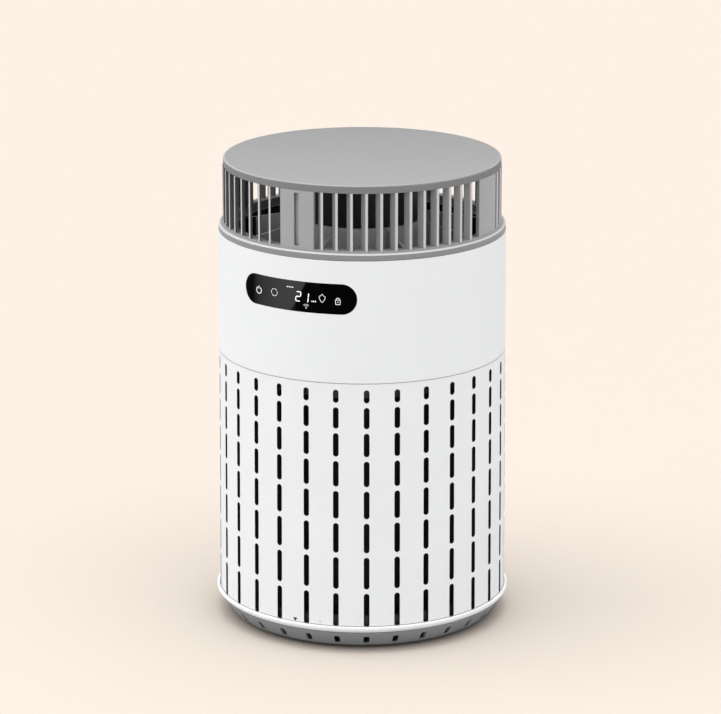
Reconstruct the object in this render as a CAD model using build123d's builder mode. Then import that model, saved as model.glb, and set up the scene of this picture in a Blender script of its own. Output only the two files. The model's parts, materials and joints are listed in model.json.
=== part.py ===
from build123d import *
import os
from math import cos, degrees, radians, sin, sqrt, tan

# A round tower air purifier. Millimetres and degrees. +Z is up, the origin is on the floor under
# the tower's axis, and the front of the tower faces -Y. Bearings round the tower are counted from
# the front, positive towards +X.

# ---- Driving dimensions ----------------------------------------------------------------------

# Overall shape
body_radius = 110.0  # outside of the shells where the sleeve meets the housing
draft_angle = 0.31  # both shells widen downwards by this angle
shell_wall = 2.4
foot_height = 3.0  # the feet stand out below the base cover
cone_height = 13.4  # base cover, up to the rim
rim_height = 4.5
sleeve_height = 190.1  # from the rim's lip to the joint with the housing
housing_height = 93.8
flange_height = 4.8  # ring under the outlet
sill_height = 1.2  # step between the flange and the outlet opening
sill_step = 0.3  # the sill stands proud of the fins
outlet_height = 43.5
lid_height = 5.7

# Clearances
slip = 0.2  # between pieces that are fitted together
turn_gap = 0.4  # between the turning base and what stays still
seam_chamfer = 0.35  # softens the edges of a visible joint
screw_gap = 0.1  # round a screw's shank

# Base cover and rim
base_inset = 8.0  # the floor plate stands back from the cone's top
cone_step = 0.15  # the cone's top stands out past the sleeve
cone_band = 1.2  # upright band above the cone
base_edge = 1.6  # rounding under the base
floor_plate = 2.4
rim_lip = 2.0  # thickness of the rim's lip
rim_ledge = 1.2
collar_gap = 0.53  # twist collar to the ledges round it
collar_wall = 2.4
collar_height = 11.6  # above the cone
base_slot_count = 30
base_slot_width = 4.5
base_slot_height = 6.4
base_slot_corner = 1.3
rib_count = 8
rib_thickness = 2.0
rib_inner_radius = 46.0

# Twist lock
lug_count = 4
lug_angle = 8.0
lug_gap = 0.43  # lugs to the ring round them
lug_height = 3.0
lock_gap_angle = 10.0  # opening that lets a lug through
twist_angle = 10.6  # from locked to open
ledge_height = 3.1
ledge_reach = 2.2
lock_ring_wall = 1.5
lock_ring_height = 10.5
stop_angle = 2.0

# Feet
foot_count = 4
foot_radius = 9.0
foot_circle = 84.0
foot_pocket = 1.0

# Sleeve slots: the first row is short, and each later row is longer than the one above
slot_columns = 30
slot_phase = 4.9  # bearing of the first column
slot_rows = 8
slot_width = 4.3
first_slot_height = 10.1
slot_growth = 1.72
slot_gap = 3.5
slot_top_margin = 4.8
slot_end_drop = 0.6  # the last row ends this far below the rim's lip
sleeve_overlap = 2.9  # sleeve hidden behind the rim's lip

# Filter
filter_gap = 3.8  # filter to the collar round it
filter_bore = 58.0
filter_cap = 3.0
cap_lip = 5.0
cap_rim = 1.2  # thickness of a cap's lip round the mesh
cap_drop = 1.0  # the pleats start this far below the top of the twist collar
mesh_thickness = 1.2
carbon_thickness = 6.0
pleat_count = 60
pleat_thickness = 1.6
gasket_height = 5.0
gasket_inset = 6.0  # the gasket stands back from the cap's edge
gasket_width = 12.0
tab_length = 56.0
tab_width = 14.0
tab_thickness = 1.0

# Fan deck
deck_plate = 3.0
deck_drop = 1.0  # deck plate's underside below the joint
deck_rim_depth = 6.0
deck_rim_height = 7.0
deck_rim_wall = 2.2
bell_radius = 12.0
throat_radius = 60.0
bell_wall = 2.0
guard_overlap = 2.0  # the guard's outer ring reaches in over the bell mouth
guard_border = 6.0  # width of its outer ring
guard_thickness = 2.2
guard_rings = 4
guard_ring_width = 1.8
guard_bars = 8
boss_count = 6
boss_first = 25.0  # bearing of the first boss
boss_inset = 11.5  # screw bosses, from the outside of the body
boss_radius = 4.0
boss_height = 16.0
deck_screw_length = 9.6

# Impeller
impeller_radius = 80.0
impeller_lift = 11.0  # lowest point of the impeller above the joint's plane
impeller_height = 38.0
shroud_wall = 1.8
shroud_gap = 1.6  # running clearance round the bell mouth
shroud_entry = 7.0
shroud_rise = 5.0
plate_thickness = 2.0
blade_count = 11
blade_inner_radius = 48.0
blade_sweep = 34.0
blade_bend = 1.2  # the sweep grows outwards with this power
blade_thickness = 2.0
hub_cup_wall = 1.9

# Motor
shaft_radius = 2.5
bearing_outer = 6.5
bearing_height = 5.0
bearing_gap = 0.05
tube_wall = 2.0
rotor_radius = 26.0
rotor_wall = 1.5
rotor_height = 28.0
magnet_thickness = 2.0
air_gap = 0.8
stator_height = 10.0
stator_teeth = 9
winding_wall = 2.5
winding_overhang = 3.5
tooth_width = 3.6
mount_radius = 30.0
mount_thickness = 3.0
mount_gap = 4.0  # rotor's open end to the mount plate
grommet_radius = 4.0
grommet_height = 3.0
mount_screw_circle = 24.0
mount_screws = 3
motor_lead_bearing = 60.0
motor_lead_circle = 14.0

# Duct, diffuser and core column
duct_gap = 8.0  # round the impeller
duct_wall = 2.0
flare_step = 8.0  # the outlet is wider than the duct
flare_height = 12.0
hub_radius = 48.0
hub_wall = 2.2
hub_floor = 2.5
hub_top_rise = 3.2  # hub's rim above the outlet's lower edge
hub_skirt = 4.0
vane_count = 8
vane_phase = 5.0
vane_thickness = 2.2
vane_drop = 11.0  # the vanes' top edges fall by this much from hub to wall
vane_depth = 26.0
column_step = 2.0  # the column stands back from the hub
column_wall = 2.0
column_spigot = 6.0
diffuser_flange = 3.0
diffuser_inset = 2.1  # the diffuser's flange stands back from the grille's fins
grille_screw_inset = 5.1  # screws, from the outside of the fins

# Outlet grille
grille_step = 3.9  # the fins stand back from the body
grille_ring_width = 8.1
fins_per_side = 12
fin_pitch = 6.0
fin_first = 11.0  # bearing of the first fin after a pillar
fin_thickness = 1.3
fin_chord = 5.8
fin_sweep = 38.0  # a fin's lean from the radial direction
pillar_count = 4
pillar_angle = 15.0
pillar_depth = 3.7
light_slot_width = 4.0
light_slot_margin = 1.8
flange_round = 1.5
flange_inset = 0.1  # the flange stands back from the housing
top_ring_height = 2.2
top_ring_sink = 0.6
lid_skirt = 2.0
lid_plate = 2.6
lid_inset = 0.5  # the lid's side stands back from the grille
lid_round = 1.1
lid_screw_circle = 34.0
lid_screw_count = 3
lid_screw_first = 120.0  # bearing of the first lid screw
lens_thickness = 2.0

# Display
display_arc = 96.5  # length round the housing
display_height = 23.0
display_below_flange = 29.5  # its centre, below the housing's top edge
window_flange = 3.0
board_thickness = 1.6
display_board_length = 86.0
display_board_height = 20.0
display_board_inset = 12.7  # front face of the board, from the outside of the body
frame_gap = 0.4
digit_width = 20.0
digit_height = 13.0
digit_depth = 6.0
digit_offset = 8.0
lamp_offsets = (-33.0, -17.7, -3.7, 22.1, 34.0)
lamp_size = 2.4

# Electronics
main_board_gap = 7.8  # round the board, inside the hub
main_board_rise = 4.0  # above the hub's rim
transformer_size = (24.0, 20.0, 18.0)
capacitor_radius = 7.0
capacitor_length = 22.0
wireless_size = (24.0, 16.0, 3.0)
transformer_shift = 4.0
post_start = 90.0
sensor_size = (38.0, 12.0, 44.0)
sensor_bearing = 215.0
sensor_rise = 22.0
vent_count = 5
vent_pitch = 6.0
vent_height = 2.2
vent_length = 20.0
lead_radius = 1.5

# Power inlet: a figure-eight recess with two contact pins
inlet_rise = 34.0  # centre above the joint
inlet_width = 17.0
inlet_recess_height = 9.0
inlet_depth = 12.0
inlet_body_width = 23.0
inlet_body_height = 15.0
inlet_body_depth = 14.5
inlet_bezel = 1.5
pin_radius = 1.2
pin_spacing = 8.6
pin_length = 9.0

# Screws
screw_radius = 1.5
screw_head_radius = 2.8
screw_head_height = 1.9

# ---- Heights that follow ---------------------------------------------------------------------

z_plate = foot_height
z_rim = z_plate + cone_height
z_lip = z_rim + rim_height
z_seam = z_lip + sleeve_height
z_flange = z_seam + housing_height
z_sill = z_flange + flange_height
z_outlet = z_sill + sill_height
z_lid = z_outlet + outlet_height
z_top = z_lid + lid_height
z_display = z_flange - display_below_flange
z_inlet = z_seam + inlet_rise


def shell_radius(height):
    """Outside radius of the drafted shells at a height."""
    return body_radius + (z_seam - height) * tan(radians(draft_angle))


def radial_plane(bearing):
    """Upright plane through the axis: local X points outwards at the bearing, local Y is up."""
    a = radians(bearing)
    return Plane(origin=(0, 0, 0), x_dir=(sin(a), -cos(a), 0), z_dir=(-cos(a), -sin(a), 0))


def outward_plane(bearing, radius, height):
    """Upright plane that faces outwards at a place: local X runs round the tower, local Y is up."""
    a = radians(bearing)
    place = (radius * sin(a), -radius * cos(a), height)
    return Plane(origin=place, x_dir=(cos(a), sin(a), 0), z_dir=(sin(a), -cos(a), 0))


def spread(count, first=0.0):
    """Evenly spaced bearings."""
    return [first + 360 * i / count for i in range(count)]


def turned(*outline, start=0.0, arc=360.0):
    """A body turned about the tower's axis from an outline of (radius, height) points."""
    with BuildPart() as body:
        with BuildSketch(radial_plane(start)):
            with BuildLine():
                Polyline(*outline, close=True)
            make_face()
        revolve(axis=Axis.Z, revolution_arc=arc)
    return body.part


def ring(inner, outer, low, high, start=0.0, arc=360.0):
    """A plain ring, or a sector of one."""
    return turned((inner, low), (outer, low), (outer, high), (inner, high), start=start, arc=arc)


def radial_block(bearing, inner, outer, width, low, high):
    """A block that runs outwards at a bearing."""
    with BuildPart() as block:
        with BuildSketch(outward_plane(bearing, inner, (low + high) / 2)):
            Rectangle(width, high - low)
        extrude(amount=outer - inner)
    return block.part


def screw(length, head_up=True):
    """A pan-head screw whose head bears on the local XY plane."""
    with BuildPart() as body:
        with BuildSketch():
            Circle(screw_head_radius)
        extrude(amount=screw_head_height)
        fillet(body.faces().sort_by(Axis.Z)[-1].edges(), radius=screw_head_height / 3)
        with BuildSketch():
            Circle(screw_radius)
        extrude(amount=-length)
        with BuildSketch(Plane.XY.offset(screw_head_height)):
            Rectangle(screw_head_radius, screw_radius / 2)
            Rectangle(screw_radius / 2, screw_head_radius)
        extrude(amount=-screw_head_height / 2, mode=Mode.SUBTRACT)
    return body.part if head_up else body.part.rotate(Axis.X, 180)


def at(bearing, radius, height):
    """A place at a bearing, radius and height."""
    a = radians(bearing)
    return (radius * sin(a), -radius * cos(a), height)


def around(bearings, radius):
    """Places at some bearings on one circle."""
    return [at(bearing, radius, 0) for bearing in bearings]


# ---- Radii that follow -----------------------------------------------------------------------

lock_outer = shell_radius(z_lip) - shell_wall - slip
lock_inner = lock_outer - lock_ring_wall
lug_outer = lock_inner - lug_gap
collar_radius = lock_inner - ledge_reach - collar_gap
collar_inner = collar_radius - collar_wall
cone_top_radius = shell_radius(z_rim) + cone_step
base_radius = cone_top_radius - base_inset
filter_radius = collar_inner - filter_gap
grille_radius = body_radius - grille_step
grille_ring_inner = grille_radius - grille_ring_width
grille_screw_circle = grille_radius - grille_screw_inset
duct_radius = impeller_radius + duct_gap
flare_radius = duct_radius + flare_step
column_radius = hub_radius - column_step
boss_circle = body_radius - boss_inset
display_board_depth = body_radius - display_board_inset
main_board_radius = hub_radius - hub_wall - main_board_gap

# ---- Base: cover, rim and feet, which turn together ------------------------------------------

cone_slope = (cone_top_radius - base_radius) / (cone_height - cone_band - base_edge)
cone_offset = shell_wall * sqrt(1 + cone_slope**2)


def cone_radius(height):
    """Outside radius of the base cover's cone."""
    return base_radius + (height - z_plate - base_edge) * cone_slope


collar_top = z_rim + collar_height
z_floor = z_plate + floor_plate
cone_shoulder = z_rim - floor_plate
filter_bottom = collar_top - filter_cap - cap_drop
rib_top = filter_bottom - turn_gap - tab_thickness
base_slot_centre = z_floor + base_slot_height / 2 + slip
foot_places = around(spread(foot_count, first=180 / foot_count), foot_circle)

with BuildPart() as base_slot:
    with BuildSketch(outward_plane(slot_phase, filter_radius, base_slot_centre)):
        RectangleRounded(base_slot_width, base_slot_height, base_slot_corner)
    extrude(amount=cone_top_radius - filter_radius + slip)

with BuildPart() as base_cover:
    with BuildSketch(radial_plane(0)):
        with BuildLine():
            Polyline(
                (0, z_plate),
                (base_radius - base_edge, z_plate),
                (base_radius, z_plate + base_edge),
                (cone_top_radius, z_rim - cone_band),
                (cone_top_radius, z_rim),
                (collar_radius, z_rim),
                (collar_radius, collar_top),
                (collar_inner, collar_top),
                (collar_inner, cone_shoulder),
                (cone_radius(cone_shoulder) - cone_offset, cone_shoulder),
                (cone_radius(z_floor) - cone_offset, z_floor),
                (0, z_floor),
                close=True,
            )
        make_face()
    revolve(axis=Axis.Z)
    for bearing in spread(rib_count, first=180 / rib_count):
        add(radial_block(bearing, rib_inner_radius, filter_radius, rib_thickness, z_floor, rib_top))
    for bearing in spread(lug_count):
        add(
            ring(
                collar_radius - slip,
                lug_outer,
                collar_top - lug_height,
                collar_top,
                start=bearing - lug_angle / 2,
                arc=lug_angle,
            )
        )
    with PolarLocations(0, base_slot_count):
        add(base_slot.part, mode=Mode.SUBTRACT)
    with BuildSketch(Plane.XY.offset(z_plate)):
        with Locations(*foot_places):
            Circle(foot_radius + slip / 2)
    extrude(amount=foot_pocket, mode=Mode.SUBTRACT)

rim_inner = shell_radius(z_rim) + turn_gap
rim_outer = rim_inner + rim_lip
with BuildPart() as base_rim:
    with BuildSketch(radial_plane(0)):
        with BuildLine():
            Polyline(
                (collar_radius + slip, z_rim),
                (cone_top_radius + slip, z_rim),
                (rim_outer, z_lip - 2 * rim_ledge),
                (rim_outer, z_lip),
                (rim_inner, z_lip),
                (rim_inner, z_rim + rim_ledge),
                (collar_radius + slip, z_rim + rim_ledge),
                close=True,
            )
        make_face()
    revolve(axis=Axis.Z)
    lip_edges = base_rim.edges().filter_by(GeomType.CIRCLE).filter_by(
        lambda e: e.radius > rim_outer - slip
    )
    fillet(lip_edges, radius=0.45 * rim_lip)

feet = {}
for number in range(foot_count):
    with BuildPart() as foot:
        with BuildSketch(Plane(origin=foot_places[number])):
            Circle(foot_radius)
        extrude(amount=foot_height + foot_pocket)
        fillet(foot.faces().sort_by(Axis.Z)[0].edges(), radius=foot_height / 4)
    feet[f"foot_{number + 1}"] = foot

# ---- Sleeve and twist-lock ring --------------------------------------------------------------

sleeve_bottom = z_lip - sleeve_overlap
slots_end = z_lip - slot_end_drop
slot_rows_length = z_seam - slot_top_margin - slots_end
growing_rows = slot_rows - 1
second_slot_height = (
    slot_rows_length
    - first_slot_height
    - growing_rows * slot_gap
    - slot_growth * growing_rows * (growing_rows - 1) / 2
) / growing_rows
slot_heights = [first_slot_height] + [second_slot_height + slot_growth * n for n in range(growing_rows)]


def drafted_shell(low, high):
    """A drafted shell between two heights, with softened outer edges."""
    return turned(
        (shell_radius(low) - shell_wall, low),
        (shell_radius(low) - seam_chamfer, low),
        (shell_radius(low), low + seam_chamfer),
        (shell_radius(high), high - seam_chamfer),
        (shell_radius(high) - seam_chamfer, high),
        (shell_radius(high) - shell_wall, high),
    )


with BuildPart() as slot_column:
    top = z_seam - slot_top_margin
    for height in slot_heights:
        middle = top - height / 2
        with BuildSketch(outward_plane(slot_phase, body_radius - 3 * shell_wall, middle)):
            SlotOverall(height, slot_width, rotation=90)
        extrude(amount=5 * shell_wall)
        top -= height + slot_gap

with BuildPart() as perforated_sleeve:
    add(drafted_shell(sleeve_bottom, z_seam))
    with PolarLocations(0, slot_columns):
        add(slot_column.part, mode=Mode.SUBTRACT)

lock_bottom = sleeve_bottom + slip
ledge_top = collar_top - lug_height - turn_gap
gap_half = lock_gap_angle / 2
with BuildPart() as bayonet_ring:
    add(ring(lock_inner, lock_outer, lock_bottom, lock_bottom + lock_ring_height))
    for bearing in spread(lug_count, first=gap_half - twist_angle):
        add(
            ring(
                lock_inner - ledge_reach,
                lock_inner + slip,
                ledge_top - ledge_height,
                ledge_top,
                start=bearing,
                arc=360 / lug_count - lock_gap_angle,
            )
        )
    for bearing in spread(lug_count):
        add(
            ring(
                lock_inner - ledge_reach,
                lock_inner + slip,
                ledge_top - ledge_height,
                collar_top,
                start=bearing + lug_angle / 2 + turn_gap,
                arc=stop_angle,
            )
        )

# ---- Filter ----------------------------------------------------------------------------------

deck_underside = z_seam - deck_drop
filter_top = deck_underside - gasket_height
media_low = filter_bottom + filter_cap
media_high = filter_top - filter_cap
mesh_inner = filter_radius - mesh_thickness - slip
carbon_outer = filter_bore + carbon_thickness
gasket_outer = filter_radius - gasket_inset


def star(outer, inner, count):
    """Corner points of a zigzag ring."""
    radii = (outer, inner)
    return [
        (radii[i % 2] * cos(radians(180 * i / count)), radii[i % 2] * sin(radians(180 * i / count)))
        for i in range(2 * count)
    ]


with BuildPart() as filter_media:
    with BuildSketch(Plane.XY.offset(media_low)):
        Polygon(*star(mesh_inner - slip, carbon_outer + pleat_thickness + slip, pleat_count), align=None)
        Polygon(
            *star(mesh_inner - slip - pleat_thickness, carbon_outer + slip, pleat_count),
            align=None,
            mode=Mode.SUBTRACT,
        )
    extrude(amount=media_high - media_low)

with BuildPart() as prefilter_mesh:
    add(ring(mesh_inner, mesh_inner + mesh_thickness, media_low, media_high))

with BuildPart() as carbon_core:
    add(ring(filter_bore, carbon_outer, media_low, media_high))

with BuildPart() as filter_bottom_cap:
    with BuildSketch(Plane.XY.offset(filter_bottom)):
        Circle(filter_radius)
    extrude(amount=filter_cap)
    add(ring(filter_radius - slip, filter_radius + cap_rim, filter_bottom, media_low + cap_lip))

with BuildPart() as filter_top_cap:
    add(ring(filter_bore, filter_radius, media_high, filter_top))
    add(ring(filter_radius - slip, filter_radius + cap_rim, media_high - cap_lip, filter_top))

with BuildPart() as filter_gasket:
    add(ring(gasket_outer - gasket_width, gasket_outer, filter_top, deck_underside))

with BuildPart() as pull_tab:
    with BuildSketch(Plane.XY.offset(filter_bottom - tab_thickness)):
        SlotOverall(tab_length, tab_width)
    extrude(amount=tab_thickness)

# ---- Fan deck and inlet guard ----------------------------------------------------------------

deck_top = deck_underside + deck_plate
deck_outer = shell_radius(z_seam + deck_rim_height) - shell_wall - slip
bell_outer = throat_radius + bell_radius
bell_top = deck_underside + bell_radius
boss_bearings = spread(boss_count, first=boss_first)

with BuildPart() as fan_deck:
    with BuildSketch(radial_plane(0)):
        with BuildLine():
            Line((deck_outer, deck_underside), (bell_outer, deck_underside))
            CenterArc((bell_outer, bell_top), bell_radius, 180, 90)
            Line((throat_radius, bell_top), (throat_radius + bell_wall, bell_top))
            CenterArc((bell_outer, bell_top), bell_radius - bell_wall, 180, 90)
            Line((bell_outer, deck_underside + bell_wall), (bell_outer, deck_top))
            Line((bell_outer, deck_top), (deck_outer, deck_top))
            Line((deck_outer, deck_top), (deck_outer, deck_underside))
        make_face()
    revolve(axis=Axis.Z)
    add(ring(deck_outer - deck_rim_wall, deck_outer, z_seam - deck_rim_depth, z_seam + deck_rim_height))
    with BuildSketch(Plane.XY.offset(deck_underside)):
        with Locations(*around(boss_bearings, boss_circle)):
            Circle(screw_radius + screw_gap)
    extrude(amount=deck_plate, mode=Mode.SUBTRACT)

guard_low = deck_underside - guard_thickness
guard_ring_inner = bell_outer - guard_overlap
with BuildPart() as inlet_guard:
    add(ring(guard_ring_inner, guard_ring_inner + guard_border, guard_low, deck_underside))
    for number in range(guard_rings):
        radius = guard_ring_inner * (number + 0.5) / guard_rings
        add(ring(radius, radius + guard_ring_width, guard_low, deck_underside))
    for bearing in spread(guard_bars):
        inner = guard_ring_inner / guard_rings / 2 + guard_ring_width / 2
        outer = guard_ring_inner + guard_ring_width
        add(radial_block(bearing, inner, outer, guard_ring_width, guard_low, deck_underside))

with BuildPart() as deck_screws:
    for bearing in boss_bearings:
        with Locations(at(bearing, boss_circle, deck_underside)):
            add(screw(deck_screw_length, head_up=False))

# ---- Motor and impeller ----------------------------------------------------------------------

impeller_low = z_seam + impeller_lift
impeller_high = impeller_low + impeller_height
plate_low = impeller_high - plate_thickness
cup_inner = rotor_radius + slip / 2
cup_outer = cup_inner + hub_cup_wall
rotor_high = impeller_high + rotor_wall
rotor_low = rotor_high - rotor_height
cup_low = rotor_low - hub_cup_wall
boss_low = cup_low - 4 * shaft_radius / 3
boss_outer = 2.4 * shaft_radius
shroud_inner = throat_radius + bell_wall + shroud_gap
shroud_cone = impeller_low + shroud_entry
blade_reach = impeller_radius - slip - blade_inner_radius
mount_low = rotor_high + mount_gap
mount_high = mount_low + mount_thickness
z_hub_floor = mount_high + grommet_height
z_hub_top = z_outlet + hub_top_rise
tube_inner = bearing_outer
tube_outer = tube_inner + tube_wall
tube_low = rotor_low + rotor_wall + 2 * mount_gap


with BuildPart() as blades:
    with BuildSketch(Plane.XY.offset(impeller_low)):
        for bearing in spread(blade_count):
            with BuildLine():
                arcs = []
                for side in (-0.5, 0.5):
                    stations = []
                    for part_way in (0, 0.5, 1):
                        radius = blade_inner_radius + part_way * blade_reach
                        half = degrees(side * blade_thickness / radius)
                        x, y, z = at(bearing + half - blade_sweep * part_way**blade_bend, radius, 0)
                        stations.append((x, y))
                    arcs.append(ThreePointArc(*stations))
                Line(arcs[0] @ 0, arcs[1] @ 0)
                Line(arcs[0] @ 1, arcs[1] @ 1)
            make_face()
    extrude(amount=impeller_height - plate_thickness / 2)
    shroud_middle = shroud_cone - shroud_wall / 2
    add(
        turned(
            (0, impeller_low - 1),
            (impeller_radius + 1, impeller_low - 1),
            (impeller_radius + 1, shroud_middle + shroud_rise),
            (impeller_radius, shroud_middle + shroud_rise),
            (shroud_inner, shroud_middle),
            (0, shroud_middle),
        ),
        mode=Mode.SUBTRACT,
    )

with BuildPart() as impeller:
    add(
        turned(
            (shroud_inner, impeller_low),
            (shroud_inner + shroud_wall, impeller_low),
            (shroud_inner + shroud_wall, shroud_cone - shroud_wall),
            (impeller_radius, shroud_cone - shroud_wall + shroud_rise),
            (impeller_radius, shroud_cone + shroud_rise),
            (shroud_inner, shroud_cone),
        )
    )
    add(blades.part)
    add(ring(cup_outer - slip, impeller_radius, plate_low, impeller_high))
    add(ring(cup_inner, cup_outer, cup_low, impeller_high))
    add(ring(shaft_radius, cup_outer, cup_low, rotor_low))
    add(ring(shaft_radius, boss_outer, boss_low, rotor_low))

with BuildPart() as rotor_can:
    add(ring(rotor_radius - rotor_wall, rotor_radius, rotor_low, rotor_high))
    add(ring(shaft_radius, rotor_radius, rotor_low, rotor_low + rotor_wall))
    add(ring(shaft_radius, boss_outer, rotor_low, rotor_low + 3 * rotor_wall))

magnet_inner = rotor_radius - rotor_wall - magnet_thickness
stator_radius = magnet_inner - air_gap
stator_low = (tube_low + mount_low - stator_height) / 2
with BuildPart() as rotor_magnets:
    add(
        ring(
            magnet_inner,
            magnet_inner + magnet_thickness,
            stator_low - winding_overhang,
            stator_low + stator_height + winding_overhang,
        )
    )

with BuildPart() as motor_shaft:
    with BuildSketch(Plane.XY.offset(boss_low)):
        Circle(shaft_radius)
    extrude(amount=mount_high - boss_low)
    chamfer(motor_shaft.edges(), length=shaft_radius / 6)

with BuildPart() as lower_bearing:
    add(ring(shaft_radius + bearing_gap, bearing_outer, tube_low, tube_low + bearing_height))

with BuildPart() as upper_bearing:
    add(ring(shaft_radius + bearing_gap, bearing_outer, mount_low - bearing_height, mount_low))

with BuildPart() as stator_core:
    add(ring(tube_outer, 1.5 * tube_outer, stator_low, stator_low + stator_height))
    for bearing in spread(stator_teeth):
        add(
            radial_block(
                bearing,
                1.4 * tube_outer,
                stator_radius - magnet_thickness,
                tooth_width,
                stator_low,
                stator_low + stator_height,
            )
        )
        add(
            ring(
                stator_radius - magnet_thickness - slip,
                stator_radius,
                stator_low,
                stator_low + stator_height,
                start=bearing - 0.4 * 360 / stator_teeth,
                arc=0.8 * 360 / stator_teeth,
            )
        )

with BuildPart() as stator_windings:
    for bearing in spread(stator_teeth):
        add(
            radial_block(
                bearing,
                1.5 * tube_outer + slip,
                stator_radius - magnet_thickness - 6 * slip,
                tooth_width + 2 * winding_wall,
                stator_low - winding_wall,
                stator_low + stator_height + winding_wall,
            )
        )
    for bearing in spread(stator_teeth):
        add(
            radial_block(
                bearing,
                tube_outer,
                stator_radius,
                tooth_width + slip / 2,
                stator_low - slip / 2,
                stator_low + stator_height + slip / 2,
            ),
            mode=Mode.SUBTRACT,
        )

mount_bearings = spread(mount_screws)
mount_places = around(mount_bearings, mount_screw_circle)
lead_hole = lead_radius + turn_gap
with BuildPart() as motor_mount:
    add(ring(0, mount_radius, mount_low, mount_high))
    add(ring(tube_inner, tube_outer, tube_low, mount_low))
    with BuildSketch(Plane.XY.offset(mount_low)):
        Circle(shaft_radius + turn_gap)
        with Locations(*mount_places):
            Circle(screw_radius + screw_gap)
        with Locations(at(motor_lead_bearing, motor_lead_circle, 0)):
            Circle(lead_hole)
    extrude(amount=mount_thickness, mode=Mode.SUBTRACT)

with BuildPart() as motor_grommets:
    with BuildSketch(Plane.XY.offset(mount_high)):
        with Locations(*mount_places):
            Circle(grommet_radius)
            Circle(screw_radius + screw_gap, mode=Mode.SUBTRACT)
    extrude(amount=grommet_height)

with BuildPart() as motor_screws:
    for bearing in mount_bearings:
        with Locations(at(bearing, mount_screw_circle, z_hub_floor + hub_floor)):
            add(screw(hub_floor + grommet_height + mount_thickness))

# ---- Fan duct, diffuser and core column ------------------------------------------------------

duct_outer = duct_radius + duct_wall
flare_low = z_flange - diffuser_flange - 2 * flare_height
flare_high = flare_low + flare_height
duct_joint = z_hub_floor - hub_skirt
vane_low = z_outlet - vane_depth
lead_height = vane_low - 2 * lead_radius
grille_screw_places = around(spread(pillar_count), grille_screw_circle)

with BuildPart() as fan_duct:
    add(ring(duct_radius, duct_outer, deck_top, duct_joint))
    add(ring(duct_outer - slip, duct_outer + 2 * duct_wall, deck_top, deck_top + duct_wall))

with BuildPart() as vane:
    with BuildSketch(radial_plane(vane_phase)):
        with BuildLine():
            Polyline(
                (hub_radius - slip, vane_low),
                (duct_radius + slip, vane_low),
                (flare_radius + slip, flare_high),
                (flare_radius + slip, z_hub_top - vane_drop),
                (hub_radius - slip, z_hub_top),
                close=True,
            )
        make_face()
    extrude(amount=vane_thickness / 2, both=True)

with BuildPart() as diffuser:
    add(
        turned(
            (duct_radius, duct_joint),
            (duct_outer, duct_joint),
            (duct_outer, flare_low),
            (flare_radius + duct_wall, flare_high),
            (flare_radius + duct_wall, z_flange - diffuser_flange),
            (grille_radius - diffuser_inset, z_flange - diffuser_flange),
            (grille_radius - diffuser_inset, z_flange),
            (flare_radius, z_flange),
            (flare_radius, flare_high),
            (duct_radius, flare_low),
        )
    )
    add(ring(hub_radius - hub_wall, hub_radius, z_hub_floor - hub_skirt, z_hub_top))
    add(ring(0, hub_radius - slip, z_hub_floor, z_hub_floor + hub_floor))
    with PolarLocations(0, vane_count):
        add(vane.part)
    with BuildSketch(Plane.XY.offset(z_hub_floor)):
        Circle(2 * shaft_radius)
        with Locations(*mount_places):
            Circle(screw_radius + screw_gap)
        with Locations(at(motor_lead_bearing, motor_lead_circle, 0)):
            Circle(lead_hole)
    extrude(amount=hub_floor, mode=Mode.SUBTRACT)
    with BuildSketch(Plane.XY.offset(z_flange - diffuser_flange)):
        with Locations(*grille_screw_places):
            Circle(screw_radius + screw_gap)
    extrude(amount=diffuser_flange, mode=Mode.SUBTRACT)
    for bearing in (vane_phase, vane_phase + 180):
        for inner, outer, drop in (
            (hub_radius - 2 * hub_wall, hub_radius + hub_wall, 1),
            (duct_radius - duct_wall, flare_radius + 2 * duct_wall, 4),
        ):
            low = lead_height - drop * lead_hole
            high = lead_height + lead_hole
            add(radial_block(bearing, inner, outer, 2 * lead_hole, low, high), mode=Mode.SUBTRACT)

column_top = z_lid
lid_screw_bearings = spread(lid_screw_count, first=lid_screw_first)
with BuildPart() as core_column:
    add(ring(column_radius - column_wall, column_radius, z_hub_top, column_top))
    add(
        ring(
            column_radius - 2 * column_wall,
            hub_radius - hub_wall - slip,
            z_hub_top - column_spigot,
            z_hub_top + column_wall,
        )
    )
    add(ring(0, column_radius, column_top - column_wall, column_top))
    with BuildSketch(Plane.XY.offset(column_top - column_wall)):
        with Locations(*around(lid_screw_bearings, lid_screw_circle)):
            Circle(screw_radius + screw_gap)
    extrude(amount=column_wall, mode=Mode.SUBTRACT)

# ---- Outlet grille and lid -------------------------------------------------------------------

pillar_inner = grille_radius - pillar_depth
flange_radius = shell_radius(z_flange) - flange_inset
pillar_width = 2 * grille_radius * sin(radians(pillar_angle / 2))
top_ring_outer = grille_radius - lid_inset - lid_skirt - slip

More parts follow.
